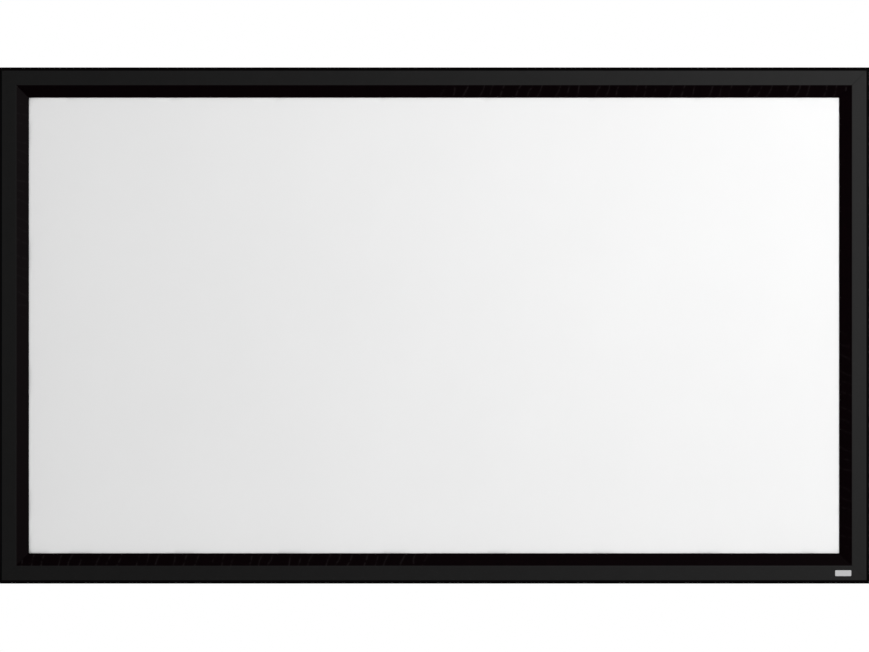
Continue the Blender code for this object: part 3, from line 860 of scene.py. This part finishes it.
@dataclass
class VelvetCovers:
    """The flocked covering of the four rails, mitred with them and tucked behind the lip."""

    tuck: float = 0.010
    stop: float = 0.0015
    roundings: tuple[float, float, float] = (0.0014, 0.0025, 0.005)
    rounding_steps: int = 6
    longest_step: float = 0.0032
    row_step: float = 0.022
    mitre_rows: tuple[float, ...] = (0.0, 0.15, 0.35, 0.6, 1.0, 2.0, 5.0)
    mitre_dip: float = 0.00025
    mitre_reach: float = 0.0010
    nose_steps: int = 12
    face_turn: float = 0.955
    stroke_fade: float = 0.05
    upright_strokes: float = 0.45

    def path(self) -> Array:
        """The outer face in section, from the wall end over the chamfer, face, bevel and lip to the tuck.

        Returns:
            The path's points as u and v.
        """
        angle, face_end = LAYOUT.bevel_angle, LAYOUT.chamfer_width + LAYOUT.face_width
        lip = arc(LAYOUT.nose, LAYOUT.nose_radius, angle - np.pi / 2, np.pi, self.nose_steps)
        wall, chamfer = (0.0, LAYOUT.depth - self.stop), (0.0, LAYOUT.chamfer_depth)
        corners = np.array([wall, chamfer, (LAYOUT.chamfer_width, 0.0), (face_end, 0.0), lip[0]])
        parts = [corners[:1]]
        for i, radius in enumerate(self.roundings):
            parts.append(rounded_corner(*corners[i : i + 3], radius, self.rounding_steps))
        end = lip[-1] - self.tuck * np.array([np.cos(angle), np.sin(angle)])
        return filled(np.concatenate([*parts, lip, [end]]), self.longest_step)

    def rows(self, side: Side) -> Array:
        """Where the rows stand: evenly along the middle, and close together near both mitres.

        Args:
            side: the side of the frame.

        Returns:
            Shares of half the side's length, from -1 to 1.
        """
        half = LAYOUT.half_length(side)
        near = 1 - np.array(self.mitre_rows) * self.mitre_reach / half
        middle = np.linspace(-near[-1], near[-1], int(2 * half / self.row_step))
        return np.concatenate([-near[:-1], middle, near[:-1][::-1]])

    def build_side(self, side: Side) -> None:
        """Makes one covering: the outer and inner faces in section, carried from mitre to mitre.

        Near a mitre the outer face dips by mitre_dip times the square of how near it is, so that the
        joint shows as a fine line.

        Args:
            side: the side that it covers.
        """
        path, half, shares = self.path(), LAYOUT.half_length(side), self.rows(side)
        outwards, lengths = path_sides(path), path_lengths(path)
        dip = self.mitre_dip * np.clip(1 - half * (1 - np.abs(shares)) / self.mitre_reach, 0, 1) ** 2
        outer = path[None] - outwards[None] * dip[:, None, None]
        inner = np.broadcast_to(path - outwards * LAYOUT.velvet, outer.shape)
        loop = np.concatenate([outer, inner[:, ::-1]], axis=1)
        s = shares[:, None] * (half - loop[..., 0])
        across = np.broadcast_to(np.concatenate([lengths, lengths[::-1]]), s.shape)
        shape = Shape()
        points = LAYOUT.place(side, np.concatenate([s[..., None], loop], axis=-1))
        shape.add_grid(points, wrap=True, flat=np.stack([across, s], axis=-1))
        rows, columns = s.shape
        steps = np.arange(len(path) - 1)
        strip = np.stack([steps, steps + 1, columns - 2 - steps, columns - 1 - steps], axis=-1)
        shape.faces += [strip, strip + (rows - 1) * columns]
        piece = shape.build(f"velvet_{side.label}", ["velvet_outer_painted_shade", "velvet_face_painted_lit", "velvet_bevel_painted_shade"], sharp=50)
        self.mark(piece, path, s, 1.0 if side.is_level else self.upright_strokes)
        dress(piece, f"{side.label}_velvet")
        self.declare(piece, side, path)

    def mark(self, piece: Piece, path: Array, s: Array, most: float) -> None:
        """Gives the flat faces and the outer wall the paler, glossier velvet and the bevel and chamfer the
        darker ones, painted light and shade partly from the nap, and stores where brush strokes lie.

        Args:
            piece: the covering.
            path: its outer face in section.
            s: where each point lies along the side, row by row.
            most: how strong the strokes are.
        """
        sides = path_sides(path)
        u = (path[1:, 0] + path[:-1, 0]) / 2
        on_face = -(sides[1:, 1] + sides[:-1, 1]) / 2 > self.face_turn
        on_wall = sides[:-1, 0] < -self.face_turn
        on_bevel = u > LAYOUT.chamfer_width + LAYOUT.face_width / 2
        outer, face, bevel = range(3)
        # The material index picks the lit or shaded copy of the velvet: painted light on the face and wall,
        # painted shade on the bevel and chamfer.
        kinds = np.where(on_face | on_wall, face, np.where(on_bevel, bevel, outer))
        rows, columns = s.shape
        column = np.concatenate([kinds, np.full(columns - len(kinds), outer)])
        index = np.zeros(len(piece.data.polygons), np.int32)
        index[: (rows - 1) * columns] = np.tile(column, rows - 1)
        piece.data.polygons.foreach_set("material_index", index)
        layer = piece.data.attributes.new("stroked", "FLOAT", "POINT")
        strength = most * np.clip(s / self.stroke_fade, 0, 1)
        layer.data.foreach_set("value", strength.astype(np.float32).ravel())

    def declare(self, piece: Piece, side: Side, path: Array) -> None:
        """Does nothing with the covering.

        Args:
            piece: the covering; not used.
            side: the side that it covers; not used.
            path: its outer face in section; not used.
        """

    def build(self) -> None:
        """Makes all four coverings."""
        for side in Side:
            self.build_side(side)


@dataclass
class ViewingSheet:
    """The white film, its notched pockets turned round the rods and welded to its back."""

    springs_level: int = 8
    springs_upright: int = 4
    spring_end_space: float = 0.100
    notch_width: float = 0.014
    notch_room: float = 0.0012
    pocket_inset: float = 0.006
    flap: float = 0.009
    flap_step: float = 0.0003
    weld: float = 0.004
    weld_start: float = 0.0002
    weld_gap: float = 0.00005
    cell: float = 0.070
    bend_steps: int = 16
    flat_start: float = 3.0

    def spring_places(self, side: Side) -> Array:
        """Where the springs stand along a side, evenly spaced.

        Args:
            side: the side of the frame.

        Returns:
            Their places as s.
        """
        count = self.springs_level if side.is_level else self.springs_upright
        reach = LAYOUT.rod_half_length(side) - self.spring_end_space
        return np.linspace(-reach, reach, count)

    @property
    def panel_edge(self) -> float:
        """How far in from the outer edge the unbroken film starts."""
        rod, _ = LAYOUT.rod
        return rod + LAYOUT.rod_radius + LAYOUT.gap + 2 * LAYOUT.wire_radius + self.notch_room

    def runs(self, side: Side) -> list[Pair]:
        """The stretches of pocket between the notches.

        Args:
            side: the side of the frame.

        Returns:
            The start and the end of each stretch as s.
        """
        end, places = LAYOUT.rod_half_length(side) - self.pocket_inset, self.spring_places(side)
        cuts = [places - self.notch_width / 2, places + self.notch_width / 2]
        stops = np.sort(np.concatenate([[-end, end], *cuts]))
        return list(zip(stops[::2], stops[1::2]))

    def lines(self, side: Side) -> Array:
        """Grid lines along a side: both ends, every pocket's ends and steps between them.

        Args:
            side: the side of the frame.

        Returns:
            The lines' places as s.
        """
        end = LAYOUT.half_length(side) - self.panel_edge
        stops = np.array([-end, *np.ravel(self.runs(side)), end])[:, None]
        return filled(np.hstack([stops, 0 * stops]), self.cell)[:, 0]

    def pocket_path(self) -> Array:
        """The outer face of the pocket in section, from the panel round the rod to the weld.

        The bend is an arc about the rod, and ends where the straight line to the weld leaves it.

        Returns:
            The path's points as u and v.
        """
        rod_u, rod_v = LAYOUT.rod
        radius = LAYOUT.rod_radius + LAYOUT.pocket_room + LAYOUT.sheet
        back = LAYOUT.sheet_front + 2 * LAYOUT.sheet + self.weld_gap
        landing = np.array([self.flap, back - rod_v])
        rest = np.arctan2(landing[1], landing[0]) + np.arccos(radius / np.hypot(*landing))
        bend = arc((rod_u, rod_v), radius, -np.pi / 2, rest - 3 * np.pi / 2, self.bend_steps)
        seam = rod_u + self.flap + np.array([0.0, self.flap_step, self.weld])
        flat = np.column_stack([seam, np.full_like(seam, back)])
        return np.concatenate([[(self.panel_edge, LAYOUT.sheet_front)], bend, flat])

    def build(self) -> None:
        """Makes the film's front face as a panel with tabs, then gives it its thickness behind.

        The panel is a flat grid, and a tab is the pocket's path carried along one of its stretches. The
        tabs' pattern starts at flat_start, clear of the panel's, so that the weld is found by it.
        """
        shape = Shape()
        x, z = np.meshgrid(self.lines(Side.TOP), self.lines(Side.RIGHT), indexing="ij")
        front = np.stack([x, np.full_like(x, LAYOUT.sheet_front - LAYOUT.depth), z], axis=-1)
        shape.add_grid(front, flat=front[..., [0, 2]])
        path, slack = self.pocket_path(), 1e-6
        lengths = path_lengths(path)
        for side in Side:
            lines = self.lines(side)
            for start, end in self.runs(side):
                s = lines[(lines > start - slack) & (lines < end + slack)]
                flat = np.stack(np.meshgrid(s, lengths + self.flat_start, indexing="ij"), axis=-1)
                shape.add_grid(LAYOUT.place(side, carried(s, path)), flat=flat)
        finishes = ["matt_white_film", "black_backing"]
        piece = shape.build("viewing_sheet", finishes, sharp=60, facing=TO_FRONT)
        self.mark_weld(piece.data, float(lengths[-1] - self.weld + self.weld_start))
        thicken(piece, LAYOUT.sheet, edge_material=1)
        dress(piece, "screen_sheet")
        self.declare(piece, float(lengths[-1]))

    def mark_weld(self, mesh: Mesh, start: float) -> None:
        """Stores 1 at the points of the welded strip.

        Args:
            mesh: the film's mesh.
            start: how far along the pocket's path the strip starts.
        """
        place = np.empty(2 * len(mesh.loops), np.float32)
        mesh.uv_layers["flat"].data.foreach_get("uv", place)
        corners = np.empty(len(mesh.loops), np.int32)
        mesh.loops.foreach_get("vertex_index", corners)
        weld = np.zeros(len(mesh.vertices), np.float32)
        weld[corners[place[1::2] > self.flat_start + start]] = 1.0
        mesh.attributes.new("weld", "FLOAT", "POINT").data.foreach_set("value", weld)

    def declare(self, piece: Piece, girth: float) -> None:
        """Works out how large the film was cut, the panel with a pocket's girth on every side, and uses the
        sums nowhere.

        Args:
            piece: the film; not used.
            girth: the length of the pocket's path.
        """
        size = [2 * (LAYOUT.half_length(s) - self.panel_edge) for s in (Side.TOP, Side.LEFT)]
        tabs = sum(girth * (end - start) for side in Side for start, end in self.runs(side))


def smooth_line(keys: Array, steps: int) -> Array:
    """A smooth line through key points.

    Between two keys it is a cubic whose slope at each key is half the way from the key before to the
    key after.

    Args:
        keys: the points that the line goes through.
        steps: how many points it has for each stretch.

    Returns:
        The line's points.
    """
    slopes = np.gradient(keys, axis=0)
    t = (np.arange(steps) / steps)[None, :, None]
    start, end = (2 * t**3 - 3 * t**2 + 1) * keys[:-1, None], (3 * t**2 - 2 * t**3) * keys[1:, None]
    out, into = (t**3 - 2 * t**2 + t) * slopes[:-1, None], (t**3 - t**2) * slopes[1:, None]
    return np.concatenate([(start + out + end + into).reshape(-1, keys.shape[1]), keys[-1:]])


def wire_rings(line: Array, radius: float, sides: int) -> Array:
    """Rings of a round wire along a line.

    Each ring's frame is the one before it, turned by no more than the line turns, so the wire doesn't
    twist. A ring's point is the line's point plus radius times the frame's two directions, by the
    cosine and sine of its angle.

    Args:
        line: points of the wire's middle.
        radius: the wire's radius.
        sides: how many points a ring has.

    Returns:
        The rings, as an array of line points by sides by three.
    """
    ahead, oblique = unit_slopes(line), np.array([0.3, 0.5, 0.8])
    first = np.empty_like(line)
    carry = np.cross(ahead[0], oblique)
    for i, direction in enumerate(ahead):
        carry = carry - direction * (carry @ direction)
        carry = carry / np.linalg.norm(carry)
        first[i] = carry
    turn = 2 * np.pi * np.arange(sides)[None, :, None] / sides
    spokes = np.cos(turn) * first[:, None] + np.sin(turn) * np.cross(ahead, first)[:, None]
    return line[:, None] + radius * spokes


@dataclass
class TensionGear:
    """The steel rods in the pockets and the springs that pull them to the rails' ribs."""

    sheet: ViewingSheet
    rod_sides: int = 28
    rod_chamfer: float = 0.0005
    coil_radius: float = 0.0025
    turns: int = 14
    points_a_turn: int = 18
    wire_sides: int = 8
    rib_groove: float = 0.0034
    rib_thickness: float = 0.0016
    shoulder: float = 0.0014
    tail: float = 0.001
    rod_wrap: Pair = (-150.0, 265.0)
    rib_wrap: Pair = (62.0, 118.0)
    rod_lean: float = 27.0
    rib_lean: float = 22.5
    hook_steps: tuple[int, int] = (12, 6)
    joint_steps: int = 3
    lead: tuple[Place, Place] = ((-0.0003, 0.0016, 0.0028), (-0.0011, 0.0005, 0.0023))
    follow: tuple[Place, Place] = ((0.0010, -0.0005, 0.0022), (0.0003, -0.0013, 0.00225))

    @property
    def rib_u(self) -> float:
        """The middle of the rib that the springs hook over."""
        web = LAYOUT.channel_out + LAYOUT.channel_width + LAYOUT.rail_wall
        return web + self.rib_groove + self.rib_thickness / 2

    def rod(self, side: Side) -> None:
        """Makes a rod: a circle carried along the side, drawn in at both ends as a small chamfer.

        Args:
            side: the side that it lies along.
        """
        half, (u, v) = LAYOUT.rod_half_length(side), LAYOUT.rod
        ends = np.array([half, half - self.rod_chamfer, half * 0.5])
        s = np.concatenate([-ends, [0.0], ends[::-1]])[:, None]
        radii = np.full_like(s, LAYOUT.rod_radius)
        radii[[0, -1]] -= self.rod_chamfer
        turn = 2 * np.pi * np.arange(self.rod_sides) / self.rod_sides
        rings = [s + 0 * turn, u + radii * np.cos(turn), v + radii * np.sin(turn)]
        shape = Shape()
        shape.add_tube(LAYOUT.place(side, np.stack(rings, axis=-1)))
        piece = shape.build(f"rod_{side.label}", [f"drawn_rod_{side.run}"], sharp=35)
        dress(piece, f"tension_rod_{side.label}")

    def spring_line(self) -> Array:
        """The wire's middle as s, u and v, from the tip of the rod hook to the tail of the rib hook.

        The coil is u going evenly from one shoulder to the other, while s and v go round a circle. A
        hook is an arc in the plane across the rod, joined to the coil's last turn by a smooth line. That
        line goes through two points, lead or follow, which are counted from the coil's end.

        Returns:
            The line's points.
        """
        rod_u, axis_v = LAYOUT.rod
        room = LAYOUT.gap + LAYOUT.wire_radius
        rod_hook, rib_hook = LAYOUT.rod_radius + room, self.rib_thickness / 2 * np.sqrt(2) + room
        start = rod_u - rod_hook / np.cos(np.radians(self.rod_lean)) - self.shoulder
        end = self.rib_u + rib_hook / np.cos(np.radians(self.rib_lean)) + self.shoulder
        around = 2 * np.pi * np.linspace(0, self.turns, self.turns * self.points_a_turn + 1)
        s, v = self.coil_radius * np.sin(around), axis_v + self.coil_radius * np.cos(around)
        coil = np.column_stack([s, np.linspace(start, end, len(around)), v])
        on_rod = arc((rod_u, axis_v), rod_hook, *np.radians(self.rod_wrap), self.hook_steps[0])
        on_rib = arc((self.rib_u, axis_v), rib_hook, *np.radians(self.rib_wrap), self.hook_steps[1])
        lead = np.array(self.lead) + [0, start, axis_v]
        follow = np.array(self.follow) + [0, end, axis_v]
        rod_keys, rib_keys = (np.column_stack([np.zeros(len(hook)), hook]) for hook in (on_rod, on_rib))
        tail = rib_keys[-1] - [0, 0, self.tail]
        head = smooth_line(np.concatenate([rod_keys, lead, coil[:1]]), self.joint_steps)
        foot = smooth_line(np.concatenate([coil[-1:], follow, rib_keys, [tail]]), self.joint_steps)
        return np.concatenate([head[:-1], coil, foot[1:]])

    def springs(self) -> None:
        """Makes the wire once and puts a copy at each place along each side."""
        rings = wire_rings(self.spring_line(), LAYOUT.wire_radius, self.wire_sides)
        for side in Side:
            for number, s in enumerate(self.sheet.spring_places(side), start=1):
                shape = Shape()
                shape.add_tube(LAYOUT.place(side, rings + [s, 0, 0]))
                piece = shape.build(f"coil_{side.label}_{number}", ["spring_wire"], sharp=60)
                dress(piece, f"spring_{side.label}_{number}")

    def build(self) -> None:
        """Makes the rods, then the springs."""
        for side in Side:
            self.rod(side)
        self.springs()


def holed_patch(low: tuple, high: tuple, hole: tuple, radius: float, steps: int) -> Array:
    """A flat rectangle with a round hole, as two rings of points: the hole's edge and the rectangle's.

    The rectangle's points are evenly spaced along each side. Their fellows on the circle go round in
    even turns, from one corner's direction to the next one's, as seen from the hole's centre.

    Args:
        low: the rectangle's corner with the lower values.
        high: the opposite corner.
        hole: the hole's centre.
        radius: the hole's radius.
        steps: how many pieces a side of the rectangle has.

    Returns:
        Two rings of 4 * steps points.
    """
    place = np.arange(4 * steps) / steps
    side = place.astype(int)
    share = place - side
    corners = np.array([low, (high[0], low[1]), high, (low[0], high[1]), low])
    edge = corners[side] + (corners[side + 1] - corners[side]) * share[:, None]
    spokes = corners - hole
    turns = np.unwrap(np.arctan2(spokes[:, 1], spokes[:, 0]))
    turn = turns[side] + (turns[side + 1] - turns[side]) * share
    rim = hole + radius * np.column_stack([np.cos(turn), np.sin(turn)])
    return np.stack([rim, edge])


def strip_patch(first: Array, last: Array, rows: int, steps: int) -> Array:
    """A flat strip between two edges, evenly spaced both ways.

    Args:
        first: the two ends of its first edge.
        last: the two ends of its last edge.
        rows: how many pieces it has from edge to edge.
        steps: how many pieces it has along an edge.

    Returns:
        Its points, row by row.
    """
    across = np.linspace(0, 1, rows + 1)[:, None, None]
    along = np.linspace(0, 1, steps + 1)[None, :, None]
    start = first[0] + (first[1] - first[0]) * along
    end = last[0] + (last[1] - last[0]) * along
    return start + (end - start) * across


@dataclass
class SteelPlates:
    """The flat angles in the corners of the frame and the bent plates on the wall.

    Each is built as its rear face, which then gets its thickness.
    """

    steps: int = 16
    edge: float = 0.0004
    slip: float = 0.0003
    wall_space: float = 0.004
    channel_height: float = 0.006
    leg: float = 0.120
    leg_chamfer: float = 0.004
    screw_hole: float = 0.0033
    plate: float = 0.003
    drop: float = 0.050
    step: float = 0.016
    bend: float = 0.0034
    inner_bend: float = 0.0004
    bend_steps: tuple[int, int] = (6, 2)
    wall_hole: float = 0.0028
    hole_drop: float = 0.030
    hole_margin: float = 0.016
    offset: float = 0.600
    hanger: Pair = (0.110, 0.0003)
    catch: Pair = (0.064, 0.0025)

    @property
    def back(self) -> float:
        """The rear face of what lies under the rear channel's lips."""
        return LAYOUT.depth - self.wall_space - LAYOUT.rail_wall - self.slip

    @property
    def plate_start(self) -> float:
        """The u at which a wall plate's bent part ends and its holed part starts."""
        return self.step + 2 * self.plate

    def finish(self, side: Side, grids: list[Array], name: str, thickness: float, node: str) -> None:
        """Makes a plate from the patches of its rear face.

        Args:
            side: the side that it is on.
            grids: the patches, as grids of s, u and v, the one round a hole as two rings.
            name: the piece's name.
            thickness: the plate's thickness.
            node: the solid that it stands for.
        """
        shape = Shape()
        for grid in grids:
            shape.add_grid(LAYOUT.place(side, grid), wrap=grid.shape[1] == 4 * self.steps)
        piece = shape.build(name, ["zinc_plate"], sharp=30, facing=TO_WALL)
        thicken(piece, thickness)
        break_edges(piece, self.edge)
        dress(piece, node)

    def angle(self, side: Side) -> None:
        """Makes the flat angle in the corner at a side's far end.

        Its face is a square in the corner, and for each leg a rectangle with the screw's hole and a
        strip that narrows to the chamfered tip. A place is its distance from both outer edges.

        Args:
            side: the side.
        """
        outer = LAYOUT.channel_out + self.slip
        inner = LAYOUT.channel_out + LAYOUT.channel_width - self.slip
        hole = (LAYOUT.screw_from_corner, LAYOUT.slot_centre)
        edges = [np.array([(a, outer), (a, inner)]) for a in (outer, inner, self.leg - self.leg_chamfer)]
        end = np.array([(self.leg, outer + self.leg_chamfer), (self.leg, inner - self.leg_chamfer)])
        leg = [
            holed_patch(edges[1][0], edges[2][1], hole, self.screw_hole, self.steps),
            strip_patch(edges[2], end, 1, self.steps),
        ]
        corner = strip_patch(edges[0], edges[1], self.steps, self.steps)
        half, grids = LAYOUT.half_length(side), []
        for patch in [corner, *leg, *(patch[..., ::-1] for patch in leg)]:
            back = np.full(patch.shape[:2], self.back)
            grids.append(np.dstack([half - patch[..., 0], patch[..., 1], back]))
        thickness = self.channel_height - 2 * self.slip
        self.finish(side, grids, f"angle_{side.corner}", thickness, f"corner_bracket_{side.corner}")

    def bend_path(self, play: float) -> Array:
        """The rear face in section past the holes: off the wall, through the slot and out to the hook.

        Args:
            play: how far the hook stays from the channel's outer wall.

        Returns:
            The path's points as u and v.
        """
        u = [self.plate_start, self.step, self.step, LAYOUT.channel_out + play]
        corners = np.column_stack([u, [LAYOUT.depth, LAYOUT.depth, self.back, self.back]])
        first = rounded_corner(*corners[:3], self.bend, self.bend_steps[0])
        second = rounded_corner(*corners[1:], self.inner_bend, self.bend_steps[1])
        return np.concatenate([corners[:1], first, second, corners[-1:]])

    def wall_plate(self, side: Side, kind: WallPlate, s: float) -> None:
        """Makes a plate screwed to the wall, with a step and a hook that holds the rail by its channel.

        Args:
            side: the side that it holds.
            kind: what it does, which gives its length and the hook's play.
            s: where its middle is along the side.
        """
        length, play = self.hanger if kind is WallPlate.HANGER else self.catch
        top, reach = self.plate_start, 2 * self.hole_margin
        bottom = top + self.drop
        stops = np.array([-length / 2, reach - length / 2, length / 2 - reach, length / 2])
        runs = [(a, b) for a, b in zip(stops, stops[1:]) if b - a > self.slip]
        patches = []
        for low, high in (runs[0], runs[-1]):
            hole = ((low + high) / 2, top + self.hole_drop)
            patches.append(holed_patch((low, top), (high, bottom), hole, self.wall_hole, self.steps))
        for place, last in runs[1:-1]:
            edges = [np.array([(x, top), (x, bottom)]) for x in (place, last)]
            patches.append(strip_patch(*edges, self.steps, self.steps))
        grids = [np.dstack([patch, np.full(patch.shape[:2], LAYOUT.depth)]) for patch in patches]
        steps = [np.linspace(*run, self.steps + 1) for run in runs]
        along = np.unique(np.round(np.concatenate(steps), decimals=7))
        grids.append(carried(along, self.bend_path(play)))
        hand = "right" if (s > 0) == (side is Side.TOP) else "left"
        grids = [grid + [s, 0, 0] for grid in grids]
        self.finish(side, grids, f"{kind.value}_plate_{hand}", self.plate, f"wall_{kind.value}_{hand}")

    def build(self) -> None:
        """Makes the four angles, the two hangers and the two catches."""
        for side in Side:
            self.angle(side)
        for side, kind in ((Side.TOP, WallPlate.HANGER), (Side.BOTTOM, WallPlate.CATCH)):
            for s in (-self.offset, self.offset):
                self.wall_plate(side, kind, s)


@dataclass
class CornerScrews:
    """The socket grub screws that lock the corner angles."""

    radius: float = 0.003
    length: float = 0.0075
    pitch: float = 0.001
    thread_depth: float = 0.00032
    socket_half_width: float = 0.0015
    socket_depth: float = 0.003
    socket_edge: float = 0.00015
    point: float = 0.0015
    sides: int = 36
    thread_steps: int = 8

    def rings(self, tip: float) -> Array:
        """A socket grub screw about its own axis.

        On the thread the radius is the screw's less the thread depth times a triangle wave of
        v / pitch - angle / turn. The socket is a hexagon: half its width over the cosine of the angle
        from the nearest flat's middle.

        Args:
            tip: the screw's front end as v.

        Returns:
            Rings of s, u and v.
        """
        turn = 2 * np.pi * np.arange(self.sides) / self.sides
        rise = np.linspace(0, self.length, int(self.length / self.pitch * self.thread_steps) + 1)[:, None]
        wave = np.abs(((rise / self.pitch - turn / (2 * np.pi)) % 1) * 2 - 1)
        tip_radii = self.radius - self.point + np.minimum(rise, self.point)
        head_radii = self.radius - self.thread_depth + np.minimum(self.length - rise, self.thread_depth)
        radii = np.minimum(self.radius - self.thread_depth * wave, np.minimum(tip_radii, head_radii))
        sixth = np.pi / 3
        hexagon = self.socket_half_width / np.cos((turn + sixth / 2) % sixth - sixth / 2)
        socket_rise = self.length - np.array([[0.0], [self.socket_edge], [self.socket_depth]])
        radii = np.concatenate([radii, [hexagon + self.socket_edge, hexagon, hexagon]])
        v = tip + np.concatenate([rise, socket_rise]) + 0 * radii
        return np.stack([radii * np.cos(turn), radii * np.sin(turn), v], axis=-1)

    def build(self) -> None:
        """Makes two screws in each corner angle, one on each leg."""
        for side in Side:
            half, near, middle = LAYOUT.half_length(side), LAYOUT.screw_from_corner, LAYOUT.slot_centre
            for number, (s, u) in enumerate(((half - near, middle), (half - middle, near)), start=1):
                node = f"corner_screw_{side.corner}_{number}"
                low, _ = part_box(node)
                shape = Shape()
                shape.add_tube(LAYOUT.place(side, self.rings(low.y + LAYOUT.depth) + [s, u, 0]))
                piece = shape.build(f"grub_{side.corner}_{number}", ["black_oxide"], sharp=38)
                dress(piece, node)


@dataclass
class Rails:
    """The four extrusions."""

    edge: float = 0.00025

    def build(self) -> None:
        """Makes the rails from their nodes, with their edges broken."""
        for side in Side:
            soften(f"{side.label}_rail", f"rail_{side.label}", f"anodised_{side.run}", self.edge)


@dataclass
class CentreBar:
    """The bar behind the middle of the film, with a clip at each end."""

    edge: float = 0.0006
    clip_edge: float = 0.0004

    def build(self) -> None:
        """Makes the bar and its clips from their nodes, with their edges broken."""
        soften("support_bar", "centre_bar", "anodised_upright", self.edge)
        for end in ("top", "bottom"):
            soften(f"bar_clip_{end}", f"clip_{end}", "black_nylon", self.clip_edge)


@dataclass
class PlainPlate:
    """The small plain plate at the lower right of the border."""

    edge: float = 0.00025

    def build(self) -> None:
        """Makes the plate from its node, with soft edges."""
        soften("badge_plate", "corner_plate", "silver_lacquer", self.edge)


@dataclass(frozen=True)
class Lamp:
    """A square soft light at a place, facing a point. One for gloss only puts no light on matt surfaces."""

    name: str
    place: Place
    aim: Place
    size: float
    power: float
    gloss_only: bool = False

    def build(self) -> None:
        """Makes the light."""
        light = bpy.data.lights.new(self.name, "AREA")
        light.shape = "SQUARE"
        light.size = self.size
        light.energy = self.power
        lamp = bpy.data.objects.new(self.name, light)
        lamp.location = self.place
        lamp.rotation_euler = (Vector(self.aim) - Vector(self.place)).to_track_quat("-Z", "Y").to_euler()
        lamp.visible_diffuse = not self.gloss_only
        bpy.context.scene.collection.objects.link(lamp)


@dataclass
class Studio:
    """Soft light, a pale floor well below the hung screen, a white background and the camera."""

    floor_drop: float = 0.95
    floor_radii: tuple[float, ...] = (0.09, 1.125, 2.25, 3.375, 4.5)
    floor_sides: int = 96
    world_light: float = 0.47
    lamps: tuple[Lamp, ...] = (
        Lamp("key", (2.5, -4.1, 1.5), (0.3, 0.0, 0.1), 1.6, 139.0),
        Lamp("sheen", (2.4, -4.4, 0.6), (0.3, 0.0, 0.1), 1.6, 320.0, gloss_only=True),
        Lamp("rear", (-2.6, 3.6, 2.4), (0.0, 0.0, 0.0), 2.6, 70.0),
    )
    camera_distance: float = 14.0
    view_width: float = 2.3716
    view_place: Pair = (0.0011, -0.0014)
    sensor: float = 36.0

    def world(self) -> None:
        """A soft even light, seen as plain white by the camera, by gloss and through glass."""
        world = bpy.data.worlds.new("studio")
        bpy.context.scene.world = world
        world.use_nodes = True
        recipe = Recipe(world.node_tree)
        rays = recipe.add("LightPath").outputs
        seen = recipe.math("MAXIMUM", rays["Is Camera Ray"], rays["Is Glossy Ray"])
        seen = recipe.math("MAXIMUM", seen, rays["Is Transmission Ray"])
        strength = recipe.ranged(seen, 0.0, 1.0, self.world_light, 1.0)
        white = (1.0, 1.0, 1.0, 1.0)
        recipe.join(world.node_tree.nodes["Background"], {"Color": white, "Strength": strength})

    def floor(self) -> None:
        """A round pale floor: rings of points about the middle, fading out to the white background."""
        turn = 2 * np.pi * np.arange(self.floor_sides) / self.floor_sides
        radii = np.array(self.floor_radii)[:, None]
        height = 0 * radii * turn + CAD_BOX[0].z - self.floor_drop
        shape = Shape()
        shape.add_grid(np.stack([radii * np.cos(turn), radii * np.sin(turn), height], axis=-1), wrap=True)
        shape.faces.append(np.arange(self.floor_sides)[None])
        shape.build("studio_floor", ["studio_floor"], sharp=60, facing=UP)

    def camera(self) -> None:
        """A long lens straight in front, its view as wide as the photograph's at the frame's face."""
        data = bpy.data.cameras.new("view")
        data.sensor_width = self.sensor
        data.lens = self.sensor * (self.camera_distance - LAYOUT.depth) / self.view_width
        data.clip_end = 100.0
        camera = bpy.data.objects.new("view", data)
        camera.location = (self.view_place[0], -self.camera_distance, self.view_place[1])
        camera.rotation_euler = (np.radians(90), 0.0, 0.0)
        bpy.context.scene.collection.objects.link(camera)
        bpy.context.scene.camera = camera

    def build(self) -> None:
        """Sets up the light, the floor and the camera."""
        self.world()
        for lamp in self.lamps:
            lamp.build()
        self.floor()
        self.camera()
        bpy.context.scene.view_settings.view_transform = "Standard"


def main() -> None:
    """Builds the studio, then the screen from its covering inwards."""
    logging.basicConfig(level=logging.INFO, format="%(name)s: %(message)s")
    sheet = ViewingSheet()
    metal = (TensionGear(sheet), Rails(), CornerScrews(), CentreBar(), SteelPlates())
    for part in (Studio(), VelvetCovers(), sheet, *metal, PlainPlate()):
        part.build()


if __name__ == "__main__":
    main()
